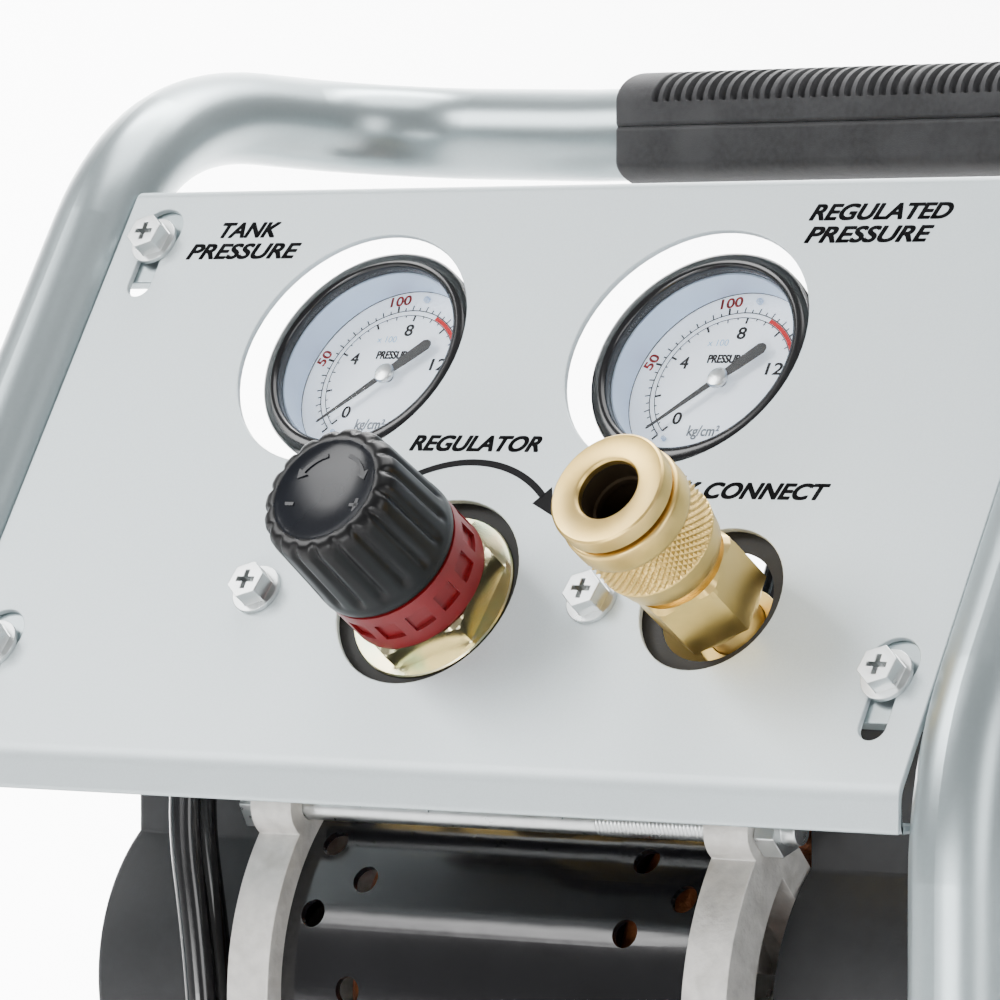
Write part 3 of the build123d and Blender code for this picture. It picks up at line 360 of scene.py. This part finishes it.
hosem = material("hose_mat", (0.004, 0.004, 0.005), rough=0.16, var=0.2, bump=0.05, bscale=300, bdist=0.0001, spec=0.6)
coppert = material("copper_tube_mat", (0.66, 0.33, 0.20), metal=1.0, rough=0.3, var=0.1, vscale=90, bump=0.1, bscale=500)
# darker metal for the coupler's bore: painted shade inside the bore, not the brass's own colour
bore_painted_shade_m = material("bore_painted_shade_mat", (0.05, 0.035, 0.02), metal=0.8, rough=0.5, bump=0.1)

lensm = bpy.data.materials.new("clear_lens_mat")
lensm.use_nodes = True
_p = lensm.node_tree.nodes["Principled BSDF"]
_p.inputs["Base Color"].default_value = (0.95, 0.97, 1.0, 1)
_p.inputs["Alpha"].default_value = 0.015
_p.inputs["Specular IOR Level"].default_value = 0.3
_n = lensm.node_tree.nodes.new("ShaderNodeTexNoise")
_n.inputs["Scale"].default_value = 40
_r = lensm.node_tree.nodes.new("ShaderNodeMapRange")
_r.inputs["To Min"].default_value = 0.02
_r.inputs["To Max"].default_value = 0.06
lensm.node_tree.links.new(_n.outputs["Fac"], _r.inputs["Value"])
lensm.node_tree.links.new(_r.outputs["Result"], _p.inputs["Roughness"])

look = {
    "frame_hoop_front": cage, "rear_loops": cage, "rear_crossbar": cage, "base_crossbars": cage, "panel_tabs": cage,
    "handle_grip_upper": gripm, "handle_grip_lower": gripm, "rubber_feet": footm, "tank_shell": tankm,
    "tank_domes": tankm, "tank_bungs": tankm, "tank_saddles": tankm, "drain_valve_body": brassm, "drain_lever": zinc,
    "motor_deck": deckm, "rubber_isolators": footm, "motor_shell": motorm, "end_brackets": castm,
    "stator_core": lamm, "stator_windings": copperm, "rotor_core": castm, "motor_shaft": zinc, "bearings": zinc,
    "tie_bolts": zinc, "eccentrics": lamm, "piston_left": castm, "piston_right": castm, "cylinders": castm,
    "cylinder_heads": castm, "cooling_fans": coverm, "fan_cover_left": coverm, "fan_cover_right": coverm,
    "head_link_tube": coppert, "delivery_tube": coppert, "check_valve": brassm, "control_panel": panelm,
    "panel_screws": zinc, "regulator_bracket": deckm, "regulator_body": brassm, "outlet_manifold": brassm,
    "bonnet_nut": yzinc, "lock_ring": redm, "adjusting_screw": zinc, "regulator_knob": knobm, "gauge_cases": casem,
    "gauge_dials": dial_painted_glow_m, "gauge_needle_tank": needlem, "gauge_needle_outlet": needlem, "gauge_lenses": lensm,
    "coupler_body": brassm, "coupler_sleeve": brassm, "coupler_valve": brassm, "pressure_switch_base": deckm,
    "pressure_switch_cover": coverm, "switch_lever": redm, "cord_gland": coverm, "safety_valve_body": brassm,
    "safety_valve_ring": zinc, "capacitor": coverm, "air_hoses": hosem,
}
for k, o in nodes.items():
    m = look[k]
    if not o.material_slots:
        o.data.materials.append(m)
    for s in o.material_slots:
        s.material = m

def heavy(body, size, M, shear, width, d=0.2):
    """A line of lettering with thickened strokes."""
    return joined([text(body, size, M @ Matrix.Translation((ox, oy, 0)), shear=shear, width=width)
                   for ox, oy in ((0, 0), (d, d), (-d, d), (d, -d), (-d, -d), (d * 1.4, 0), (-d * 1.4, 0))])


# ------------------------------------------------------------------ panel and its print
sheet_ob = polish("control_panel", panelm, 0.55, 3, 40, name="panel_sheet", join=0.01)
zlow = min(v.co.z for v in sheet_ob.data.vertices)
for v in sheet_ob.data.vertices:
    if v.co.z < zlow + 0.0014:
        v.co.z += 0.0019

lettering = [
    heavy("TANK", 5.7, at(-93.2, 31.6, 0.02), shear=0.26, width=16.5),
    heavy("PRESSURE", 5.7, at(-92.6, 25.8, 0.02), shear=0.26, width=32.0),
    heavy("REGULATED", 5.7, at(78.6, 34.0, 0.02), shear=0.26, width=35.5),
    heavy("PRESSURE", 5.7, at(77.0, 28.2, 0.02), shear=0.26, width=31.5),
    heavy("REGULATOR", 5.4, at(-6.2, -25.2, 0.02), shear=0.26, width=34.5),
    heavy("QUICK CONNECT", 5.4, at(62.5, -36.2, 0.02), shear=0.26, width=52.0),
]
arrow = [arc_band(31.7, 33.3, 48, 150, at(-4.6, -62.3, 0.02))]
a0 = math.radians(46)
tip = (32.5 * math.cos(a0 - 0.17), 32.5 * math.sin(a0 - 0.17))
arrow.append(ngon([tip, (35.3 * math.cos(a0 + 0.05), 35.3 * math.sin(a0 + 0.05)),
                   (29.7 * math.cos(a0 + 0.05), 29.7 * math.sin(a0 + 0.05))], at(-4.6, -62.3, 0.02), 0.03))
link("panel_lettering", joined(lettering + arrow), inkm)

# ------------------------------------------------------------------ gauges
GC = ((-52.3, 3.0), (39.0, 2.0))
Z0 = 228.0
dial_parts = []
for cx, cq in GC:
    D = at(cx, cq, -18.0)
    pr = at(cx, cq, -17.96)
    dial_parts.append((polar([(0, 23.05), (0, 1.2)], D, nt=72), 0))
    dial_parts.append((polar([(-1, 23.05), (0, 23.05)], D, nt=72), 0))
    # scale arcs
    dial_parts.append((arc_band(17.9, 18.15, -42, 228, pr, 90), 1))
    dial_parts.append((arc_band(16.65, 16.85, -42, 228, pr, 90), 1))
    dial_parts.append((arc_band(16.9, 17.85, 29, 66, at(cx, cq, -17.95), 24), 2))
    for v in range(0, 211, 5):
        a = math.radians(Z0 - 1.245 * v)
        L = 19.7 if v % 50 == 0 else (19.4 if v % 10 == 0 else 18.9)
        w = 0.26 if v % 50 == 0 else 0.15
        c, s = math.cos(a), math.sin(a)
        pts = [(18.1 * c - w * s, 18.1 * s + w * c), (L * c - w * s, L * s + w * c),
               (L * c + w * s, L * s - w * c), (18.1 * c + w * s, 18.1 * s - w * c)]
        dial_parts.append((ngon(pts, pr, 0.03), 1))
    for v in range(0, 31):
        a = math.radians(Z0 - 17.7 * v * 0.5)
        if Z0 - 8.85 * v < -42:
            break
        L = 15.2 if v % 4 == 0 else (15.8 if v % 2 == 0 else 16.2)
        w = 0.25 if v % 4 == 0 else 0.14
        c, s = math.cos(a), math.sin(a)
        pts = [(16.7 * c - w * s, 16.7 * s + w * c), (L * c - w * s, L * s + w * c),
               (L * c + w * s, L * s - w * c), (16.7 * c + w * s, 16.7 * s - w * c)]
        dial_parts.append((ngon(pts, pr, 0.03), 1))
    for v in (50, 100, 150):
        a = math.radians(Z0 - 1.245 * v)
        ang = {50: 70, 100: 8, 150: -52}[v]
        T = at(cx + 21.3 * math.cos(a) * 0.985, cq + 21.3 * math.sin(a) * 0.985, -17.96) @ Matrix.Rotation(
            math.radians(ang), 4, "Z")
        dial_parts.append((heavy(str(v), 3.6, T, 0.0, 5.4 if v > 50 else 3.8, 0.08), 2))
    for v in (0, 4, 8, 12):
        a = math.radians(Z0 - 17.7 * v)
        T = at(cx + 12.6 * math.cos(a), cq + 12.6 * math.sin(a), -17.96)
        dial_parts.append((heavy(str(v), 4.3, T, 0.0, 4.2 if v > 9 else 2.1, 0.07), 1))
    dial_parts.append((heavy("PRESSURE", 2.9, at(cx - 1.0, cq + 6.0, -17.96), 0.0, 9.5, 0.09), 1))
    dial_parts.append((heavy("kg/cm²", 3.8, at(cx - 0.5, cq - 12.5, -17.96), 0.0, 8.0, 0.06), 4))
    dial_parts.append((text("psi", 2.8, at(cx + 0.5, cq - 16.6, -17.96)), 2))
    dial_parts.append((text("x 100", 2.4, at(cx - 4.5, cq + 10.2, -17.96)), 3))
link("gauge_dial_faces", joined_mats(dial_parts), [dial_painted_glow_m, inkm, redink, blueink, greyink], repl=("gauge_dials",))

liners = []
for cx, cq in GC:
    liners.append(polar([(-17.7, 23.1), (-16.9, 22.95), (-9.8, 22.75), (-9.8, 23.15), (-17.7, 23.15)],
                        at(cx, cq), nt=96))
    # stop pin and two small rim screws
    for r, a, rad in ((17.6, 236, 0.55), (20.9, 262, 0.75), (20.9, 82, 0.75)):
        x, y = r * math.cos(math.radians(a)), r * math.sin(math.radians(a))
        liners.append(polar([(-17.9, rad), (-17.2, rad), (-17.0, rad * 0.6), (-16.95, 0.01)], at(cx + x, cq + y), nt=20))
link("gauge_liners", joined(liners), linerm)

cases = []
for cx, cq in GC:
    cases.append(polar([(-28.5, 23.2), (-8.9, 23.2), (-7.6, 23.0), (-6.95, 23.3), (-6.6, 23.9), (-6.5, 24.6),
                        (-6.75, 25.7), (-7.3, 26.7), (-8.2, 27.2), (-10.5, 27.3), (-10.8, 26.9), (-29.0, 26.9),
                        (-30.5, 26.2), (-31.0, 24.5), (-31.0, 7.0)], at(cx, cq), nt=128, angle=50))
    cases.append(polar([(-31.0, 7.0), (-34.0, 7.0), (-34.0, 6.0), (-41.0, 6.0), (-41.0, 0.01)], at(cx, cq),
                       fn=lambda t, h, r: r if h > -33.9 or r < 0.5 else min(
                           8.2, 6.0 / math.cos((t + math.pi / 4) % (math.pi / 2) - math.pi / 4)), nt=64))
link("gauge_bodies", joined(cases), casem, repl=("gauge_cases",))

for nm, body, (cx, cq) in (("gauge_needle_tank", "tank_needle", GC[0]), ("gauge_needle_outlet", "outlet_needle", GC[1])):
    za = math.radians(222.0)
    T = at(cx, cq, -16.3) @ Matrix.Rotation(za, 4, "Z")
    parts = [(ngon([(0, 0.75), (19.0, 0.18), (19.4, 0), (19.0, -0.18), (0, -0.75)], T, 0.35), 0),
             (ngon([(0, 0.8), (-5, 1.25), (-11.6, 1.45), (-12.6, 0.8), (-12.9, 0), (-12.6, -0.8), (-11.6, -1.45),
                    (-5, -1.25), (0, -0.8)], T, 0.35), 0),
             (polar([(-18.6, 1.0), (-16.4, 1.0), (-16.4, 2.45), (-15.7, 2.5), (-15.3, 2.2), (-15.1, 1.5), (-15.05, 0.01)],
                    at(cx, cq), nt=48), 1)]
    link(nm + "_face", joined_mats(parts), [needlem, zinc], body=body, repl=(nm,))

# ------------------------------------------------------------------ knob
RX, RQ = -4.6, -62.3
NF = 18


def flute(t, h, r):
    if r < 12.0 or h < 20.8:
        return r
    w = min(1.0, max(0.0, (h - 20.8) / 2.4))
    if h > 41.8:
        w *= max(0.0, (r - 12.0) / 3.5) if r < 15.5 else 1.0
    g = (0.5 + 0.5 * math.cos(NF * t)) ** 3
    return r - 0.95 * w * g


rings = [(17.6, 7.4), (17.6, 16.5), (17.75, 16.95), (18.1, 17.2), (19.6, 17.2), (20.4, 17.15), (20.8, 17.1)]
for i in range(1, 7):
    rings.append((20.8 + 0.5 * i, 17.1 - 0.02 * i))
rings += [(26, 16.85), (31, 16.65), (36, 16.45), (39.4, 16.3), (40.6, 16.1), (41.5, 15.7), (42.2, 15.1), (42.7, 14.4),
          (42.95, 13.7), (43.0, 13.0), (42.95, 12.4), (42.75, 11.9), (42.5, 11.3), (42.2, 10.2), (41.9, 8.2),
          (41.7, 6.0), (41.6, 3.0), (41.6, 0.01)]
kn = polar(rings, at(RX, RQ), fn=flute, nt=432, angle=60)
top_i = [f.index for f in kn.polygons]
kparts = [(kn, 0)]
# raised marks on the dished top
kparts.append((arc_band(8.6, 9.5, 108, 150, at(RX, RQ, 41.75), 16, 0.55), 1))
kparts.append((arc_band(8.6, 9.5, 30, 72, at(RX, RQ, 41.75), 16, 0.55), 1))
for sx, mir in ((1, 30), (-1, 150)):
    a = math.radians(mir)
    px_, py_ = 9.05 * math.cos(a), 9.05 * math.sin(a)
    d = math.radians(mir - 90 if sx > 0 else mir + 90)
    tri = [(px_ + 2.0 * math.cos(d), py_ + 2.0 * math.sin(d)),
           (px_ + 1.5 * math.cos(a), py_ + 1.5 * math.sin(a)), (px_ - 1.5 * math.cos(a), py_ - 1.5 * math.sin(a))]
    kparts.append((ngon(tri, at(RX, RQ, 41.75), 0.55), 1))
for bx, by, w, h in ((9.0, -3.4, 3.2, 0.8), (9.0, -3.4, 0.8, 3.2), (-9.0, -3.4, 3.2, 0.8)):
    kparts.append((ngon([(bx - w / 2, by - h / 2), (bx + w / 2, by - h / 2), (bx + w / 2, by + h / 2),
                         (bx - w / 2, by + h / 2)], at(RX, RQ, 41.7), 0.5), 1))
kme = joined_mats(kparts)
ka = M_PANEL.inverted()
for f in kme.polygons:
    c = ka @ f.center
    if c.z > 41.4 and math.hypot(c.x - RX, c.y - RQ) < 12.6:
        f.material_index = 1
kme.shade_smooth()
kme.set_sharp_from_angle(angle=math.radians(50))
link("regulator_knob_grip", kme, [knobm, knobtop], body="knob", repl=("regulator_knob",))


def hexr(af, t, turn):
    k = (t - math.radians(turn) + math.pi / 6) % (math.pi / 3) - math.pi / 6
    return af / 2 / math.cos(k)


# hexagon nut with a chamfered front, on its round flange; vertices at 24 degrees
def nut(t, h, r):
    return min(r, hexr(32.0, t, 24 + 30)) if h > -2.1 else r


nut_rings = [(-3.7, 11.6), (-3.7, 19.6), (-3.4, 20.0), (-2.5, 20.0), (-2.2, 19.7), (-2.2, 18.5), (-2.0, 18.4), (-1.2, 18.5),
             (3.2, 18.5), (3.6, 18.1), (4.1, 17.1), (4.5, 15.9), (4.5, 11.6)]
link("bonnet_nut_zinc", polar(nut_rings, at(RX, RQ), fn=nut, nt=240, angle=12), yzinc, repl=("bonnet_nut",))

# red ring: a plain upper band, and a lower band with square recesses
polish("lock_ring", redm, 0.3, 2, 40)

# ------------------------------------------------------------------ coupler
CX, CQ = 69.3, -62.3


def chex(t, h, r):
    return min(r, hexr(22.2, t, 0)) if -2.05 < h < 15.2 else r


body_parts = [
    (polar([(-2, 3.2), (-2, 11.0), (-1.2, 12.9), (-0.6, 13.2), (12.6, 13.2), (14.0, 12.3), (15.0, 11.2), (15.0, 10.3),
            (15.3, 10.3)], at(CX, CQ), fn=chex, nt=240, angle=12), 0),
    (polar([(15.0, 10.3), (40.7, 10.3), (40.7, 12.6), (40.9, 13.0), (41.2, 13.3), (44.0, 13.3), (44.6, 13.15),
            (44.95, 12.7), (45.0, 12.2), (45.0, 8.0), (44.8, 7.4), (44.3, 7.0), (43.6, 6.9), (43.0, 6.9)], at(CX, CQ),
           nt=128, angle=30), 0),
    # material 1 on the bore and on the groove ring below is painted shade inside the coupler
    (polar([(43.0, 6.9), (27.0, 6.9), (26.6, 5.7), (6.0, 5.6), (6.0, 3.2), (-2, 3.2)], at(CX, CQ), nt=128,
           angle=30), 1),
    (polar([(-15.9, 3.2), (-15.9, 6.5), (-2.0, 6.5)], at(CX, CQ), nt=64), 0),
    (polar([(38.2, 6.88), (38.0, 6.3), (37.2, 6.1), (36.4, 6.3), (36.2, 6.88)], at(CX, CQ), nt=96), 1),
]
link("coupler_body_brass", joined_mats(body_parts), [brassm, bore_painted_shade_m], repl=("coupler_body",))


def tri(x):
    x = x % 1.0
    return 1 - abs(2 * x - 1)


def knurl(t, h, r):
    if h < 24.15 or h > 33.95:
        return r
    e = min(1.0, (h - 24.15) / 0.5, (33.95 - h) / 0.5)
    n = 48
    u = n * t / (2 * math.pi)
    v = (h - 24) / 1.75
    return r - 0.62 + 0.62 * (1 - e) + e * 0.85 * min(tri(u + v), tri(u - v))


srings = [(17.6, 10.5), (17.6, 11.6), (17.8, 12.0), (18.3, 12.35), (21.0, 12.9), (23.5, 13.5), (24.0, 13.6), (24.14, 13.6)]
srings += [(24.16 + 0.1632 * i, 13.6) for i in range(60)]
srings += [(33.96, 13.6), (34.1, 13.6), (34.3, 13.75), (35.0, 13.8), (38.8, 13.8), (39.4, 13.6), (39.7, 13.2),
           (39.75, 12.6), (39.75, 10.5), (17.6, 10.5)]
link("coupler_sleeve_knurled", polar(srings, at(CX, CQ), fn=knurl, nt=576, angle=60), brassm, body="sleeve",
     repl=("coupler_sleeve",))

# dark discs just behind the panel, round the nut flange and the coupler: painted shade seen through the gaps in the
# panel holes
hole_shade_discs = [polar([(-3.7, 20.1), (-3.7, 27.5), (-3.0, 27.5), (-3.0, 20.1), (-3.7, 20.1)], at(RX, RQ), nt=96),
           polar([(-3.7, 13.4), (-3.7, 20.5), (-3.0, 20.5), (-3.0, 13.4), (-3.7, 13.4)], at(CX, CQ), nt=96)]
link("fitting_hole_painted_shade_discs", joined(hole_shade_discs), footm)

# ------------------------------------------------------------------ screws
polish("panel_screws", zinc, 0.28, 2, 35, name="panel_screw_heads")

# ------------------------------------------------------------------ handle grip
BY, BZ = 8.9, 428.6
M_BAR = Matrix.Translation((0, BY * 0.001, BZ * 0.001)) @ MM
GX0, GX1 = -57.2, 68.0
xs = []
x = GX0
while x < GX1:
    xs.append(x)
    x += 0.23
xs.append(GX1)


def outline(t):
    """Radius of the grip's section: flat front and back, a low crown, a rounded base."""
    c, s_ = math.cos(t), math.sin(t)
    zc, b = (7.5, 7.3) if s_ > 0 else (7.0, 6.0)
    if abs(c) > 1e-6 and abs(13.5 * s_ / c) <= zc:
        return 13.5 / abs(c)
    s_ = abs(s_)
    A = c * c / 182.25 + s_ * s_ / (b * b)
    B = -2 * zc * s_ / (b * b)
    C = zc * zc / (b * b) - 1
    return (-B + math.sqrt(max(0.0, B * B - 4 * A * C))) / (2 * A)


def grip_fn(upper, ta, tb):
    def f(t, h, r):
        if r < 11.5:
            return r
        e = min(h - GX0, GX1 - h)
        rr = outline(t)
        if e < 1.2:
            rr -= 1.2 - math.sqrt(max(0.0, 1.2 ** 2 - (1.2 - e) ** 2))
        d = math.degrees(min(t - ta, tb - t))
        if d < 3.0:
            rr -= 0.6 * (1 - d / 3.0)
        el = math.degrees(abs(math.asin(max(-1, min(1, math.sin(t))))))
        if upper and e > 11.0:
            w = min(1.0, max(0.0, (el - 28.0) / 2.0))
            k = ((h - GX0 - 11.0) % 3.2) / 3.2
            g = 1.0 if 0.08 < k < 0.5 else (k / 0.08 if k <= 0.08 else max(0.0, 1 - (k - 0.5) / 0.08))
            rr -= 1.9 * w * g
        return rr
    return f


seam = math.radians(6.34)
for up_, nm in ((True, "handle_grip_upper"), (False, "handle_grip_lower")):
    t0 = seam + 0.004 if up_ else math.pi - seam + 0.004
    t1 = math.pi - seam - 0.004 if up_ else 2 * math.pi + seam - 0.004
    rg = [(GX0, 11.25)] + [(v, 13.7) for v in xs] + [(GX1, 11.25)]
    link(nm + "_rubber", polar(rg, M_BAR, fn=grip_fn(up_, t0, t1), nt=110, axis="x", t0=t0, t1=t1, angle=55), gripm,
         repl=(nm,))

# ------------------------------------------------------------------ pump
polish("motor_shell", motorm, 0.35, 2, 40, name="motor_shell_enamel")
polish("end_brackets", castm, 1.1, 3, 40, name="end_brackets_cast")
polish("fan_cover_left", coverm, 0.5, 2, 50, name="fan_cover_left_moulded")
polish("fan_cover_right", coverm, 0.5, 2, 50, name="fan_cover_right_moulded")
polish("tie_bolts", zinc, 0.35, 2, 40, name="tie_bolts_zinc")
threads = []
for sy in (-1, 1):
    for sz in (-1, 1):
        T = M_SHAFT @ Matrix.Translation((0, 44.0 * sy, 42.0 * sz))
        rg = [(24.0 + 0.25 * i, 3.02 + 0.16 * (1 - abs((i % 4) - 2) / 1.0)) for i in range(0, 125)]
        rg = [(24.0, 2.9)] + [(h, max(2.95, r)) for h, r in rg] + [(55.2, 2.9)]
        threads.append(polar(rg, T, axis="x", nt=28, angle=20))
link("tie_bolt_threads", joined(threads), zinc)
for nm, w in (("motor_deck", 0.5), ("pressure_switch_base", 0.5), ("switch_lever", 0.6), ("cord_gland", 0.6),
              ("cylinder_heads", 0.5), ("cylinders", 0.4), ("check_valve", 0.5), ("safety_valve_body", 0.5),
              ("drain_valve_body", 0.5), ("outlet_manifold", 0.6), ("regulator_body", 0.6),
              ("base_crossbars", 0.8), ("tank_saddles", 0.5), ("tank_bungs", 0.8), ("rubber_feet", 1.2),
              ("panel_tabs", 0.5), ("regulator_bracket", 0.4)):
    polish(nm, look[nm], w, 2, 42, body="switch" if nm == "switch_lever" else "frame")

# weld beads round the tank's dome joints
beads = []
for yb in (-130.0, 140.0):
    T = Matrix.Translation((0, yb * 0.001, 0.0911)) @ Matrix.Rotation(math.pi / 2, 4, "X") @ MM
    beads.append(polar([(-2.6, 62.45), (-1.6, 63.0), (0.0, 63.35), (1.6, 63.0), (2.6, 62.45)], T,
                       fn=lambda t, h, r: r + (0.12 * math.sin(160 * t) if abs(h) < 1.7 else 0.0), nt=640, angle=60))
link("tank_weld_beads", joined(beads), tankm)

# ------------------------------------------------------------------ stage and lights
white = material("stage_white_mat", (0.93, 0.93, 0.93), rough=0.9, var=0.005, vscale=2, bump=0.0, spec=0.1)
prof = [(-3.0, 0.0), (1.6, 0.0)] + [(1.6 + 1.2 * math.sin(a * math.pi / 24), 1.2 - 1.2 * math.cos(a * math.pi / 24))
                                    for a in range(1, 13)] + [(2.8, 4.5)]
# the floor turns up into a backdrop behind the object as the camera sees it
bv, bf = [], []
d = Vector((vw.x, vw.y, 0)).normalized()
sd = Vector((d.y, -d.x, 0))
for k, (u, z) in enumerate(prof):
    for w_ in (-5.0, 5.0):
        p = d * u + sd * w_
        bv.append((p.x, p.y, z))
for k in range(len(prof) - 1):
    bf.append((2 * k, 2 * k + 1, 2 * k + 3, 2 * k + 2))
sm = bpy.data.meshes.new("studio_floor")
sm.from_pydata(bv, [], bf)
sm.shade_smooth()
floor = bpy.data.objects.new("studio_floor", sm)
sm.materials.append(white)
scene.collection.objects.link(floor)

world = bpy.data.worlds.new("world")
scene.world = world
world.use_nodes = True
bg = world.node_tree.nodes["Background"]
bg.inputs["Color"].default_value = (1.0, 1.0, 1.0, 1)
bg.inputs["Strength"].default_value = 0.42


def area(name, loc, target, size, power, color=(1, 1, 1), size_y=None):
    li = bpy.data.lights.new(name, "AREA")
    li.energy = power
    li.color = color
    li.shape = "RECTANGLE"
    li.size = size
    li.size_y = size_y or size
    ob = bpy.data.objects.new(name, li)
    ob.location = loc
    ob.rotation_euler = (Vector(target) - Vector(loc)).to_track_quat("-Z", "Y").to_euler()
    scene.collection.objects.link(ob)


area("key_left", (-1.5, -1.5, 1.7), (0, -0.05, 0.3), 1.1, 46)
area("fill_right", (1.9, -0.9, 0.7), (0, 0, 0.25), 0.7, 16, size_y=1.4)
area("top_soft", (0.1, 0.1, 2.0), (0, 0, 0.2), 1.3, 30)
area("low_front", (0.2, -1.5, 0.12), (0, -0.1, 0.25), 0.8, 9, size_y=0.2)
area("backdrop_wash", (-0.2, 1.0, 2.4), (-1.3, 2.6, 0.9), 1.8, 300)
area("backdrop_wash_low", (-1.6, 0.9, 0.9), (-1.6, 3.0, 0.6), 1.6, 150)
